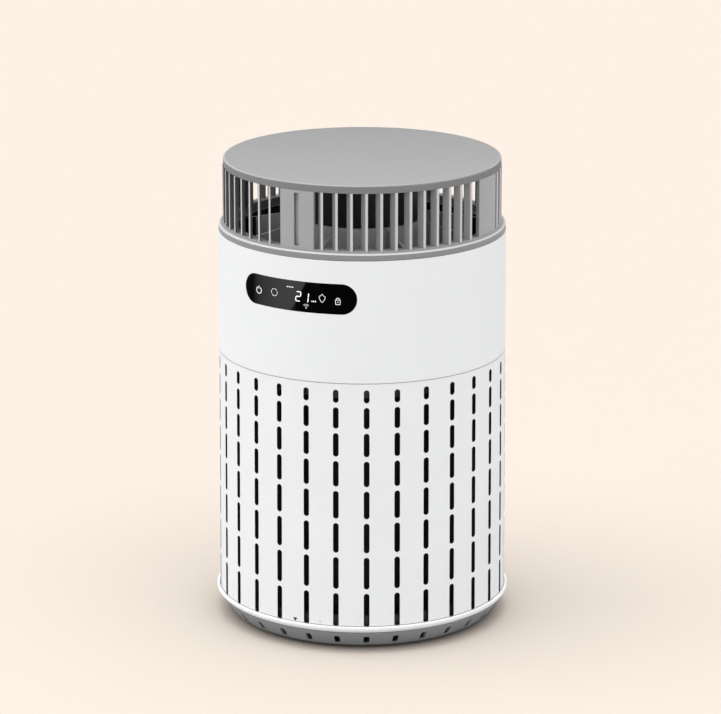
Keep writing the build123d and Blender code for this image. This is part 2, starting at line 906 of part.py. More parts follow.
with BuildPart() as outlet_grille:
    add(ring(grille_ring_inner, flange_radius, z_flange, z_sill))
    outer_edges = outlet_grille.edges().filter_by(GeomType.CIRCLE).filter_by(
        lambda e: e.radius > flange_radius - slip
    )
    fillet(outer_edges.sort_by(Axis.Z)[-1], radius=flange_round)
    outer_edges = outlet_grille.edges().filter_by(GeomType.CIRCLE).filter_by(
        lambda e: e.radius > flange_radius - slip
    )
    chamfer(outer_edges.sort_by(Axis.Z)[0], length=seam_chamfer)
    add(ring(grille_ring_inner, grille_radius + sill_step, z_sill - slip, z_outlet))
    with BuildSketch(Plane.XY.offset(z_sill)):
        for side in spread(pillar_count):
            x, y, z = at(side, grille_radius, 0)
            with Locations((x, y)):
                Rectangle(2 * pillar_depth, pillar_width, rotation=side - 90)
            for number in range(fins_per_side):
                bearing = side + fin_first + fin_pitch * number
                lean = radians(bearing - 90 + fin_sweep)
                inset = fin_chord / 2 - fin_thickness
                x, y, z = at(bearing, grille_radius, 0)
                with Locations((x - inset * cos(lean), y - inset * sin(lean))):
                    Rectangle(fin_chord + 2 * fin_thickness, fin_thickness, rotation=degrees(lean))
        Circle(grille_radius, mode=Mode.INTERSECT)
    extrude(amount=z_lid - z_sill)
    add(ring(grille_ring_inner, top_ring_outer, z_lid - top_ring_sink, z_lid + top_ring_height))
    with BuildSketch(Plane.XY.offset(z_flange)):
        with Locations(*grille_screw_places):
            Circle(screw_radius + screw_gap)
    extrude(amount=flange_height, mode=Mode.SUBTRACT)
    add(
        radial_block(
            0,
            pillar_inner - 1,
            grille_radius + 1,
            light_slot_width,
            z_outlet + light_slot_margin,
            z_lid - light_slot_margin,
        ),
        mode=Mode.SUBTRACT,
    )

with BuildPart() as grille_screws:
    for bearing in spread(pillar_count):
        with Locations(at(bearing, grille_screw_circle, z_flange - diffuser_flange)):
            add(screw(diffuser_flange + flange_height - 2 * slip, head_up=False))

lens_outer = pillar_inner - slip / 2
lens_inner = lens_outer - lens_thickness
with BuildPart() as light_bar_lens:
    add(
        radial_block(
            0,
            lens_inner,
            lens_outer,
            4 * light_slot_width,
            z_outlet + slip,
            z_lid - top_ring_sink - slip,
        )
    )

with BuildPart() as light_bar_board:
    add(
        radial_block(
            0,
            lens_inner - board_thickness - slip,
            lens_inner - slip,
            3 * light_slot_width,
            z_outlet + light_slot_margin,
            z_lid - light_slot_margin,
        )
    )

lid_radius = grille_radius - lid_inset
plate_under = z_top - lid_plate
with BuildPart() as top_lid:
    add(
        turned(
            (0, plate_under),
            (lid_radius - lid_skirt, plate_under),
            (lid_radius - lid_skirt, z_lid),
            (lid_radius, z_lid),
            (lid_radius, z_top),
            (0, z_top),
        )
    )
    rim_edges = top_lid.edges().filter_by(GeomType.CIRCLE).filter_by(
        lambda e: e.radius > lid_radius - slip
    )
    fillet(rim_edges.sort_by(Axis.Z)[-1], radius=lid_round)
    add(ring(column_radius - 3 * column_wall, column_radius, z_lid, plate_under + slip))
    with BuildSketch(Plane.XY.offset(z_lid)):
        with Locations(*around(lid_screw_bearings, lid_screw_circle)):
            Circle(boss_radius)
    extrude(amount=plate_under - z_lid + slip)
    with BuildSketch(Plane.XY.offset(z_lid)):
        with Locations(*around(lid_screw_bearings, lid_screw_circle)):
            Circle(screw_radius + screw_gap)
    extrude(amount=lid_height - lid_plate / 2, mode=Mode.SUBTRACT)

with BuildPart() as lid_screws:
    for bearing in lid_screw_bearings:
        with Locations(at(bearing, lid_screw_circle, column_top - column_wall)):
            add(screw(column_wall + lid_height - lid_plate, head_up=False))

# ---- Upper housing and display ---------------------------------------------------------------

half_display = display_arc / 2
display_shell = shell_radius(z_display)


def round_bearing(offset):
    """Bearing of a place that lies an arc length away from the display's centre."""
    return degrees(offset / display_shell)


def pill(margin, inner, outer):
    """A pill-ended block that follows the housing, with round ends, larger all round by the margin."""
    end = round_bearing(half_display - display_height / 2)
    low = z_display - display_height / 2 - margin
    high = z_display + display_height / 2 + margin
    with BuildPart() as block:
        add(ring(inner, outer, low, high, start=-end, arc=2 * end))
        for bearing in (-end, end):
            with BuildSketch(outward_plane(bearing, inner, z_display)):
                Circle(display_height / 2 + margin)
            extrude(amount=outer - inner)
    return block.part


def layer(inset, thickness):
    """A drafted skin of the housing, set back from its outer surface."""
    low = z_display - display_height
    high = z_display + display_height
    return turned(
        (shell_radius(low) - inset - thickness, low),
        (shell_radius(low) - inset, low),
        (shell_radius(high) - inset, high),
        (shell_radius(high) - inset - thickness, high),
    )


pill_inner = body_radius - 5 * shell_wall
pill_outer = body_radius + shell_wall
with BuildPart() as upper_housing:
    add(drafted_shell(z_seam, z_flange))
    with BuildSketch(Plane.XY.offset(deck_top)):
        with Locations(*around(boss_bearings, boss_circle)):
            Circle(boss_radius)
    extrude(amount=boss_height)
    for bearing in boss_bearings:
        add(
            radial_block(
                bearing,
                boss_circle,
                shell_radius(z_seam + boss_height) - shell_wall + slip,
                rib_thickness,
                z_seam + deck_rim_height,
                deck_top + boss_height,
            )
        )
    with BuildSketch(Plane.XY.offset(deck_top)):
        with Locations(*around(boss_bearings, boss_circle)):
            Circle(screw_radius + screw_gap)
    extrude(amount=boss_height - shell_wall, mode=Mode.SUBTRACT)
    add(
        ring(
            deck_outer - 2 * deck_rim_wall,
            deck_outer + slip / 2,
            deck_top,
            z_seam + deck_rim_height + slip,
        ),
        mode=Mode.SUBTRACT,
    )
    add(pill(slip / 2, pill_inner, pill_outer), mode=Mode.SUBTRACT)
    add(
        radial_block(
            180,
            pill_inner,
            pill_outer,
            inlet_body_width + slip,
            z_inlet - inlet_body_height / 2 - slip / 2,
            z_inlet + inlet_body_height / 2 + slip / 2,
        ),
        mode=Mode.SUBTRACT,
    )
    for number in range(vent_count):
        middle = z_seam + sensor_rise + sensor_size[2] / 2 + vent_pitch * (number - (vent_count - 1) / 2)
        with BuildSketch(outward_plane(sensor_bearing, pill_inner, middle)):
            SlotOverall(vent_length, vent_height)
        extrude(amount=pill_outer - pill_inner, mode=Mode.SUBTRACT)

with BuildPart() as display_window:
    add(layer(0, shell_wall))
    add(pill(0, pill_inner, pill_outer), mode=Mode.INTERSECT)

board_back = display_board_depth - board_thickness
with BuildPart() as display_frame:
    with BuildSketch(Plane.XY.offset(z_display - display_height / 2 - window_flange)):
        Circle(shell_radius(z_flange) - shell_wall - frame_gap)
        with Locations((0, shell_radius(z_flange) - display_board_depth - frame_gap)):
            Rectangle(3 * body_radius, 2 * body_radius + slip, mode=Mode.SUBTRACT)
        with Locations((0, -display_board_depth - shell_wall)):
            Rectangle(
                display_board_length + window_flange, 10 * shell_wall, mode=Mode.INTERSECT
            )
    extrude(amount=display_height + 2 * window_flange)
    for offset in lamp_offsets:
        with BuildSketch(outward_plane(0, display_board_depth - shell_wall, z_display)):
            with Locations((offset, 0)):
                Rectangle(2 * lamp_size, 2.5 * lamp_size)
        extrude(amount=body_radius, mode=Mode.SUBTRACT)
    with BuildSketch(outward_plane(0, display_board_depth - shell_wall, z_display)):
        with Locations((digit_offset, 0)):
            Rectangle(digit_width + frame_gap, digit_height + frame_gap)
    extrude(amount=body_radius, mode=Mode.SUBTRACT)

with BuildPart() as display_board:
    with BuildSketch(outward_plane(0, board_back, z_display)):
        Rectangle(display_board_length, display_board_height)
    extrude(amount=board_thickness)

with BuildPart() as digit_module:
    with BuildSketch(outward_plane(0, display_board_depth, z_display)):
        with Locations((digit_offset, 0)):
            Rectangle(digit_width, digit_height)
    extrude(amount=digit_depth)

with BuildPart() as display_lamps:
    with BuildSketch(outward_plane(0, display_board_depth, z_display)):
        for offset in lamp_offsets:
            with Locations((offset, 0)):
                Rectangle(lamp_size, lamp_size)
    extrude(amount=lamp_size / 3)

# ---- Electronics, power inlet and leads ------------------------------------------------------

board_low = z_hub_top + main_board_rise
board_high = board_low + board_thickness
lead_end_circle = main_board_radius - 4 * lead_radius
with BuildPart() as main_board:
    with BuildSketch(Plane.XY.offset(board_low)):
        Circle(main_board_radius)
        with PolarLocations(mount_screw_circle, mount_screws, start_angle=post_start):
            Circle(screw_radius + screw_gap, mode=Mode.SUBTRACT)
    extrude(amount=board_thickness)

with BuildPart() as board_posts:
    with BuildSketch(Plane.XY.offset(z_hub_floor + hub_floor)):
        with PolarLocations(mount_screw_circle, mount_screws, start_angle=post_start):
            Circle(grommet_radius)
            Circle(screw_radius + screw_gap, mode=Mode.SUBTRACT)
    extrude(amount=board_low - z_hub_floor - hub_floor)

with BuildPart() as board_screws:
    with PolarLocations(mount_screw_circle, mount_screws, start_angle=post_start):
        with Locations((0, 0, board_high)):
            add(screw(board_thickness + main_board_rise))

with BuildPart() as power_transformer:
    with BuildSketch(Plane.XY.offset(board_high)):
        with Locations((-transformer_size[0] / 2, transformer_shift)):
            RectangleRounded(transformer_size[0], transformer_size[1], shell_wall)
    extrude(amount=transformer_size[2])

with BuildPart() as mains_capacitor:
    with BuildSketch(Plane.XY.offset(board_high)):
        with Locations((capacitor_radius + shell_wall, -capacitor_radius - shell_wall)):
            Circle(capacitor_radius)
    extrude(amount=capacitor_length)
    fillet(mains_capacitor.edges(), radius=capacitor_radius / 7)

with BuildPart() as wireless_module:
    with BuildSketch(Plane.XY.offset(board_high)):
        with Locations((wireless_size[0] / 2, wireless_size[1] / 2 + shell_wall)):
            Rectangle(wireless_size[0], wireless_size[1])
    extrude(amount=wireless_size[2])

sensor_low = z_seam + sensor_rise
sensor_face = sqrt((shell_radius(z_flange) - shell_wall) ** 2 - (sensor_size[0] / 2) ** 2) - frame_gap
with BuildPart() as dust_sensor:
    add(
        radial_block(
            sensor_bearing,
            sensor_face - sensor_size[1],
            sensor_face,
            sensor_size[0],
            sensor_low,
            sensor_low + sensor_size[2],
        )
    )
    with BuildSketch(outward_plane(sensor_bearing, sensor_face, sensor_low + sensor_size[2] / 2)):
        SlotOverall(vent_length, 2 * vent_height)
    extrude(amount=-sensor_size[1] / 2, mode=Mode.SUBTRACT)

inlet_face = shell_radius(z_inlet) - inlet_bezel / 3
with BuildPart() as power_inlet:
    add(
        radial_block(
            180,
            inlet_face - inlet_body_depth,
            inlet_face,
            inlet_body_width,
            z_inlet - inlet_body_height / 2,
            z_inlet + inlet_body_height / 2,
        )
    )
    with BuildSketch(outward_plane(180, inlet_face, z_inlet)):
        SlotOverall(inlet_width, inlet_recess_height)
    extrude(amount=-inlet_depth, mode=Mode.SUBTRACT)
    with BuildSketch(outward_plane(180, inlet_face - inlet_depth, z_inlet)):
        with Locations((-pin_spacing / 2, 0), (pin_spacing / 2, 0)):
            Circle(pin_radius)
    extrude(amount=pin_length)


def lead(bearing, *route, bends):
    """A lead in the upright plane at a bearing, along (radius, height) points with round bends."""
    points = [at(bearing, radius, height) for radius, height in route]
    with BuildPart() as body:
        with BuildLine() as path:
            if bends:
                FilletPolyline(*points, radius=bends)
            else:
                Line(*points)
        start = path.line @ 0
        with BuildSketch(Plane(origin=start, z_dir=path.line % 0)):
            Circle(lead_radius)
        sweep(path=path.line)
    return body.part


lead_bend = 4 * lead_radius
inlet_side = inlet_face - inlet_body_depth - turn_gap - lead_radius
with BuildPart() as power_lead:
    add(
        lead(
            vane_phase + 180,
            (inlet_side, z_inlet),
            (inlet_side, lead_height),
            (lead_end_circle, lead_height),
            (lead_end_circle, board_low),
            bends=[lead_bend, lead_bend],
        )
    )

with BuildPart() as display_lead:
    add(
        lead(
            vane_phase,
            (board_back, lead_height),
            (lead_end_circle, lead_height),
            (lead_end_circle, board_low),
            bends=[lead_bend],
        )
    )

with BuildPart() as motor_lead:
    add(
        lead(
            motor_lead_bearing,
            (motor_lead_circle, stator_low + stator_height + winding_wall),
            (motor_lead_circle, board_low),
            bends=None,
        )
    )

# ---- Writing the pieces ----------------------------------------------------------------------

pieces = {
    "base_cover": base_cover,
    "base_rim": base_rim,
    **feet,
    "perforated_sleeve": perforated_sleeve,
    "bayonet_ring": bayonet_ring,
    "prefilter_mesh": prefilter_mesh,
    "filter_media": filter_media,
    "carbon_core": carbon_core,
    "filter_bottom_cap": filter_bottom_cap,
    "filter_top_cap": filter_top_cap,
    "filter_gasket": filter_gasket,
    "pull_tab": pull_tab,
    "fan_deck": fan_deck,
    "inlet_guard": inlet_guard,
    "deck_screws": deck_screws,
    "impeller": impeller,
    "rotor_can": rotor_can,
    "rotor_magnets": rotor_magnets,
    "motor_shaft": motor_shaft,
    "lower_bearing": lower_bearing,
    "upper_bearing": upper_bearing,
    "stator_core": stator_core,
    "stator_windings": stator_windings,
    "motor_mount": motor_mount,
    "motor_grommets": motor_grommets,
    "motor_screws": motor_screws,
    "fan_duct": fan_duct,
    "diffuser": diffuser,
    "core_column": core_column,
    "outlet_grille": outlet_grille,
    "grille_screws": grille_screws,
    "light_bar_lens": light_bar_lens,
    "light_bar_board": light_bar_board,
    "top_lid": top_lid,
    "lid_screws": lid_screws,
    "upper_housing": upper_housing,
    "display_window": display_window,
    "display_frame": display_frame,
    "display_board": display_board,
    "digit_module": digit_module,
    "display_lamps": display_lamps,
    "main_board": main_board,
    "board_posts": board_posts,
    "board_screws": board_screws,
    "power_transformer": power_transformer,
    "mains_capacitor": mains_capacitor,
    "wireless_module": wireless_module,
    "dust_sensor": dust_sensor,
    "power_inlet": power_inlet,
    "power_lead": power_lead,
    "display_lead": display_lead,
    "motor_lead": motor_lead,
}

os.makedirs("parts", exist_ok=True)
for name, piece in pieces.items():
    piece.part.label = name
    export_step(piece.part, f"parts/{name}.step")
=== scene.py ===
import json
from contextlib import contextmanager
from math import cos, pi, radians, sin

import bmesh
import bpy
from bpy.props import FloatProperty, FloatVectorProperty, IntProperty, PointerProperty
from bpy.types import Operator, Panel, PropertyGroup
from mathutils import Matrix, Vector


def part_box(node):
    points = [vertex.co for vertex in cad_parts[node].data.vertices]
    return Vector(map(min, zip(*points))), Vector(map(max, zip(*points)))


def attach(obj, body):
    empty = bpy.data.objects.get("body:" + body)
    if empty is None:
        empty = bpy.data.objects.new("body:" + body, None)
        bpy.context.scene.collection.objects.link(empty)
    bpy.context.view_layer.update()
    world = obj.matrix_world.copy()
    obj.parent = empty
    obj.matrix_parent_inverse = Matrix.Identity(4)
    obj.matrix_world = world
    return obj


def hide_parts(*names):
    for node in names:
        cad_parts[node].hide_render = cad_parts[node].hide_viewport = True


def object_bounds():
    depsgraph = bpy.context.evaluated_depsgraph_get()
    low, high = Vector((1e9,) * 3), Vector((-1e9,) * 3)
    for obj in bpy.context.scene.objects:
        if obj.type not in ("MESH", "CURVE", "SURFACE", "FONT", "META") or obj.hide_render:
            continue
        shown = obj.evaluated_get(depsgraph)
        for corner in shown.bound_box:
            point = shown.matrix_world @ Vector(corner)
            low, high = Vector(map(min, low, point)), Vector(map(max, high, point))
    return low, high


bl_info = {
    "name": "Tower Air Purifier",
    "version": (1, 0, 0),
    "blender": (4, 5, 0),
    "location": "View3D > Sidebar > Purifier",
    "description": "Finishes, display marks and small pieces of a round tower air purifier",
    "category": "Object",
}

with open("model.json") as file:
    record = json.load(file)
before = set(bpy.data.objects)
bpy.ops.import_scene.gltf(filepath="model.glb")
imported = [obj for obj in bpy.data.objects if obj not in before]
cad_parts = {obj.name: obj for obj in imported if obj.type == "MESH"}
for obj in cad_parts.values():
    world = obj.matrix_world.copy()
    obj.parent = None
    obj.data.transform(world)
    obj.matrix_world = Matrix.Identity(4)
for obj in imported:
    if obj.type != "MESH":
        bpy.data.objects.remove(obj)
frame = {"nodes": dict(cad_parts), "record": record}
cad_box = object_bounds()

MM = 0.001


# ---- Places read from the frame --------------------------------------------------------------


def low(node):
    """Lowest corner of a CAD node."""
    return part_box(node)[0]


def high(node):
    """Highest corner of a CAD node."""
    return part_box(node)[1]


seam = high("perforated_sleeve").z
shell_at_seam = high("upper_housing").x
shell_draft = (high("perforated_sleeve").x - shell_at_seam) / (seam - low("perforated_sleeve").z)
rim_top = high("base_rim").z
display_middle = (low("display_window").z + high("display_window").z) / 2


def shell_radius(height):
    """Outside radius of the white shells at a height: they widen downwards."""
    return shell_at_seam + (seam - height) * shell_draft


# ---- Settings --------------------------------------------------------------------------------


def size(name, description, default):
    """A length that a user may change."""
    return FloatProperty(
        name=name, description=description, default=default, min=0, unit="LENGTH", precision=5
    )


def colour(name, description, default):
    """A colour that a user may change."""
    return FloatVectorProperty(
        name=name, description=description, default=default, min=0, max=1, size=3, subtype="COLOR"
    )


def amount(name, description, default):
    """A plain number that a user may change."""
    return FloatProperty(name=name, description=description, default=default, min=0)


def angle(name, description, default):
    """An angle that a user may change, given in degrees."""
    return FloatProperty(name=name, description=description, default=radians(default), subtype="ANGLE")


class PURIFIER_PG_colours(PropertyGroup):
    """Colours of the moulded pieces that show."""

    shell: colour("Shell", "White of the sleeve, the housing and the rim", (0.86, 0.865, 0.87))
    lid: colour("Lid", "Light grey of the lid's top", (0.26, 0.26, 0.262))
    grille: colour("Grille", "Grey of the outlet grille", (0.37, 0.37, 0.372))
    hub: colour("Hub", "Light grey of the hub under the lid", (0.86, 0.86, 0.86))
    base: colour("Base", "Dark grey of the base cover", (0.27, 0.27, 0.272))
    deck: colour("Deck", "Dark grey of the fan deck", (0.07, 0.07, 0.071))
    # The inside colour also gives the painted shade on the sleeve's slot walls and on the base's collar
    inside: colour("Inside", "Near black of the pieces inside", (0.012, 0.012, 0.013))
    glow: colour("Glow", "Light of the display marks", (0.93, 0.96, 1.0))


class PURIFIER_PG_display(PropertyGroup):
    """Sizes of the marks behind the display window."""

    stroke: size("Stroke", "Line width of the marks", 0.42 * MM)
    lift: size("Lift", "How far the marks stand off the window", 0.04 * MM)
    thickness: size("Thickness", "Thickness of the marks", 0.05 * MM)
    digit_height: size("Digit height", "Height of the two digits", 7.1 * MM)
    digit_width: size("Digit width", "Width of one digit", 3.7 * MM)
    digit_stroke: size("Digit stroke", "Width of a digit's bars", 0.75 * MM)
    digit_slant: angle("Digit slant", "Lean of the digits", 6)
    glow: amount("Glow", "Brightness of the marks", 0.95)


class PURIFIER_PG_small_pieces(PropertyGroup):
    """Sizes of the printed marks and the feet."""

    mark_width: size("Mark width", "Width of the arrow above the rim", 3.9 * MM)
    mark_height: size("Mark height", "Height of the arrow above the rim", 2.8 * MM)
    mark_gap: size("Mark gap", "Height of the arrow's point above the rim", 0.4 * MM)
    joint_width: size("Joint width", "Width of the lines where shells meet", 0.4 * MM)
    release_bearing: angle("Release bearing", "Where the base's mark stands when the base is free", 10.6)
    tread_rings: IntProperty(name="Tread rings", description="Grooves in each foot", default=3, min=1)
    tread_depth: size("Tread depth", "Depth of the grooves in the feet", 0.5 * MM)


class PURIFIER_PG_stage(PropertyGroup):
    """The floor, the lights and the camera."""

    azimuth: angle("Azimuth", "The camera's bearing round the tower", 27.2)
    elevation: angle("Elevation", "The camera's angle above the horizon", 15.574)
    distance: size("Distance", "From the camera to its target", 2.7409)
    target_height: size("Target height", "Height of the camera's target", 0.2012)
    target_shift: size("Target shift", "The target stands this far left of the tower's axis", 1.307 * MM)
    lens: amount("Lens", "Focal length in millimetres", 177.6)
    floor: colour("Floor", "Pale floor", (0.583, 0.522, 0.465))
    sky: amount("Sky", "Brightness of the even light from all round", 0.4)
    top_light: amount("Top light", "Strength of the soft light overhead", 3.45)
    left_light: amount("Left light", "Strength of the soft light at the left", 1.0)
    right_light: amount("Right light", "Strength of the soft light at the right", 0.45)
    card_light: amount("Card light", "Power of the card that the display window mirrors", 35.0)
    card_tilt: angle("Card tilt", "How far the card's lower edge rises to the right", 13)


class PURIFIER_PG_settings(PropertyGroup):
    """All settings of the tower."""

    colours: PointerProperty(type=PURIFIER_PG_colours)
    display: PointerProperty(type=PURIFIER_PG_display)
    small_pieces: PointerProperty(type=PURIFIER_PG_small_pieces)
    stage: PointerProperty(type=PURIFIER_PG_stage)


# ---- Shader maths ----------------------------------------------------------------------------


class Signal:
    """One output of a shader node. Python's signs on it add Math nodes."""

    def __init__(self, shader, socket):
        self.shader = shader
        self.socket = socket

    def __add__(self, other):
        return self.shader.maths("ADD", self, other)

    def __radd__(self, other):
        return self.shader.maths("ADD", other, self)

    def __sub__(self, other):
        return self.shader.maths("SUBTRACT", self, other)

    def __rsub__(self, other):
        return self.shader.maths("SUBTRACT", other, self)

    def __mul__(self, other):
        return self.shader.maths("MULTIPLY", self, other)

    def __truediv__(self, other):
        return self.shader.maths("DIVIDE", self, other)

    def __gt__(self, other):
        return self.shader.maths("GREATER_THAN", self, other)

    def __lt__(self, other):
        return self.shader.maths("LESS_THAN", self, other)

    def __abs__(self):
        return self.shader.maths("ABSOLUTE", self)


class Shader:
    """A material while it is being made: a principled shader and the nodes that feed it."""

    def __init__(self, name, **constants):
        self.material = bpy.data.materials.new(name)
        self.material.use_nodes = True
        self.tree = self.material.node_tree
        self.principled = self.tree.nodes["Principled BSDF"]
        for socket, value in constants.items():
            self.feed(socket.replace("_", " "), value)

    def connect(self, socket, value):
        if isinstance(value, Signal):
            self.tree.links.new(value.socket, socket)
        elif isinstance(value, (tuple, list)) and len(value) == 3 and socket.type == "RGBA":
            socket.default_value = (*value, 1.0)
        else:
            socket.default_value = value

    def node(self, kind, settings=None, values=None, output=0):
        """Adds a node: its settings first, then its sockets by name or number."""
        made = self.tree.nodes.new(kind)
        for setting, value in (settings or {}).items():
            if setting == "stops":
                while len(made.color_ramp.elements) < len(value):
                    made.color_ramp.elements.new(1.0)
                for element, (place, tone) in zip(made.color_ramp.elements, value):
                    element.position = place
                    element.color = (*tone, 1.0)
            else:
                setattr(made, setting, value)
        for socket, value in (values or {}).items():
            self.connect(made.inputs[socket], value)
        return Signal(self, made.outputs[output])

    def feed(self, socket, value):
        """Sets or links a socket of the principled shader."""
        self.connect(self.principled.inputs[socket], value)

    def maths(self, operation, *values):
        """A sum, a sine or other maths of some values."""
        return self.node("ShaderNodeMath", {"operation": operation}, dict(enumerate(values)))

    def place(self):
        """Where a point lies on the piece, in metres."""
        return self.node("ShaderNodeTexCoord", output="Object")

    def noise(self, grain, detail=2.0, roughness=0.5, where=None):
        """Soft noise whose lumps are about the grain's size across."""
        values = {"Scale": 1 / grain, "Detail": detail, "Roughness": roughness}
        return self.node("ShaderNodeTexNoise", None, {"Vector": where or self.place(), **values})

    def cells(self, grain, output=0, where=None):
        """Cells about the grain's size across."""
        values = {"Vector": where or self.place(), "Scale": 1 / grain}
        return self.node("ShaderNodeTexVoronoi", None, values, output)

    def ranged(self, value, low_in, high_in, low_out, high_out):
        """A value moved from one range to another, and held within it."""
        values = {
            "Value": value, "From Min": low_in, "From Max": high_in, "To Min": low_out, "To Max": high_out
        }
        return self.node("ShaderNodeMapRange", None, values)

    def mixed(self, factor, first, second, blend="MIX"):
        """Two colours mixed by a factor."""
        settings = {"data_type": "RGBA", "blend_type": blend}
        return self.node("ShaderNodeMix", settings, {0: factor, 6: first, 7: second}, output=2)

    def axes(self, where=None):
        """The three parts of a place."""
        made = self.node("ShaderNodeSeparateXYZ", None, {0: where or self.place()})
        outputs = made.socket.node.outputs
        return [Signal(self, outputs[number]) for number in range(3)]

    def bevel(self, radius):
        """The surface's direction, with sharp edges rounded."""
        return self.node("ShaderNodeBevel", {"samples": 4}, {"Radius": radius})

    def bump(self, height, distance, strength=1.0, under=None):
        """Relief of a height between 0 and 1, this many metres deep."""
        values = {"Strength": strength, "Distance": distance, "Height": height}
        if under is not None:
            values["Normal"] = under
        return self.node("ShaderNodeBump", None, values)


def tinted(tone, factor):
    """A colour made lighter or darker."""
    return tuple(min(1.0, part * factor) for part in tone)


# ---- Finishes --------------------------------------------------------------------------------


def moulded(name, tone, roughness, grain, depth, edge, dust=0.0, tones=None):
    """Moulded plastic: fine spark-eroded grain, slow drift in tone, worn and rounded edges."""
    shader = Shader(name, IOR=1.46, Coat_Roughness=0.12)
    drift = shader.noise(60 * MM, detail=3)
    fine = shader.noise(grain, detail=3, roughness=0.65)
    scuffs = shader.noise(9 * MM, detail=6, roughness=0.7)
    body = shader.mixed(drift, tinted(tone, 0.97), tinted(tone, 1.02))
    if dust:
        up = shader.axes(shader.node("ShaderNodeNewGeometry", output="Normal"))[2]
        settled = shader.ranged(up, 0.55, 1.0, 0.0, dust) * scuffs
        body = shader.mixed(settled, body, (0.62, 0.6, 0.57))
    shader.feed("Base Color", tones(shader, body) if tones else body)
    shader.feed("Roughness", shader.ranged(scuffs, 0.3, 0.7, roughness - 0.05, roughness + 0.05) + fine * 0.04)
    shader.feed("Normal", shader.bump(fine, depth, under=shader.bevel(edge) if edge else None))
    return shader.material


def facing(shader):
    """How far a surface faces away from the tower's axis, and how far it faces up: -1 to 1."""
    across, deep, _ = shader.axes()
    side, front, up = shader.axes(shader.node("ShaderNodeTexCoord", output="Normal"))
    return (across * side + deep * front) / distance_out(shader), up


def distance_out(shader):
    """Distance from the tower's axis, in metres."""
    across, deep, _ = shader.axes()
    return shader.maths("SQRT", across * across + deep * deep)


def painted_shade(shader, body, share):
    """Painted shade: a tone with a share of black in it."""
    return shader.mixed(share, body, (0.0, 0.0, 0.0))


def sleeve_painted_shade(shader, body, dark):
    """White outside, and painted shade on the walls of the slots and inside."""
    outwards, _ = facing(shader)
    outside = outwards > 0.6
    # Painted shade: surfaces that don't face outwards take the dark colour
    return shader.mixed(outside, dark, body)


def lid_painted_light(shader, body):
    """Painted light on the lid: a top painted a little lighter in front, a side band with painted shade and a painted
    highlight on the rounded edge between.
    """
    outwards, _ = facing(shader)
    across, deep, _ = shader.axes()
    # Painted light: the top's tone is raised towards the front and lowered towards the back
    nearness = across * 0.45 - deep * 0.89
    reach = 100 * MM
    top = shader.mixed(1.0, body, shader.ranged(nearness, -reach, reach, 0.87, 1.08), blend="MULTIPLY")
    # Painted shade on the side band, deeper where it faces outwards
    band = painted_shade(shader, top, shader.ranged(outwards, 0.75, 0.98, 0.0, 0.28))
    # Painted highlight on the rounded edge between top and band
    painted_highlight_mask = abs(outwards - 0.4) < 0.25
    return shader.mixed(painted_highlight_mask, band, (0.38, 0.38, 0.38))


def grille_painted_light(shader, body):
    """Painted shade on the fins' faces behind painted highlights on their front edges, and on the flange a painted
    highlight on the lip and painted shade on the side.
    """
    # Tone of the painted highlights
    light = 0.6, 0.6, 0.6
    across, deep, height = shader.axes()
    out = distance_out(shader)
    outwards, _ = facing(shader)
    flange_top = low("light_bar_lens").z
    front = high("top_lid").x + 0.1 * MM
    between = (height > flange_top) * (height < low("top_lid").z)
    pillar_reach = 0.31
    clear_of_pillars = abs(across * deep) * 2 / (out * out) > pillar_reach
    # Painted shade on the fins' faces, between the flange and the lid
    faces = painted_shade(shader, body, between * (out < front) * 0.32)
    # Painted highlight on the fins' front edges, clear of the pillars
    edges = shader.mixed(between * clear_of_pillars * (out > front), faces, light)
    flange = (height < flange_top) * (out > front + 1.5 * MM)
    # Painted shade on the flange's outward side
    side = painted_shade(shader, edges, flange * (outwards > 0.95) * 0.3)
    # Painted highlight on the flange's rounded lip
    lip = abs(outwards - 0.5) < 0.4
    return shader.mixed(flange * lip, side, light)


def base_painted_shade(shader, body, dark):
    """Grey cone, and painted shade on the collar that hides behind the slots."""
    # Painted shade: everything above the rim's foot takes the inside colour
    return shader.mixed(shader.axes()[2] > low("base_rim").z, body, dark)


def hub_painted_light(shader, body, dark):
    """A light hub, vanes with painted shade, painted highlights on surfaces that face up, and a dark duct wall."""
    out = distance_out(shader)
    _, up = facing(shader)
    hub = high("core_column").x + 3 * MM
    wall = high("fan_duct").x - 6 * MM
    # Painted shade on the vanes beyond the hub
    vanes = painted_shade(shader, body, (out > hub) * 0.45)
    walls = shader.mixed(out > wall, vanes, dark)
    # Painted highlight on every surface that faces up
    return shader.mixed(up > 0.5, walls, (0.9, 0.9, 0.9))


def window_finish():
    """Black gloss acrylic with a faint haze of finger marks."""
    shader = Shader("black_window", IOR=1.07)
    marks = shader.noise(14 * MM, detail=5, roughness=0.6)
    haze = shader.ranged(marks, 0.45, 0.75, 0.0, 1.0)
    shader.feed("Base Color", shader.mixed(haze, (0.0005, 0.0005, 0.0006), (0.0015, 0.0015, 0.0016)))
    shader.feed("Roughness", 0.035 + haze * 0.05)
    ripple = shader.noise(28 * MM, detail=1)
    shader.feed("Normal", shader.bump(ripple, 0.02 * MM, under=shader.bevel(0.25 * MM)))
    return shader.material


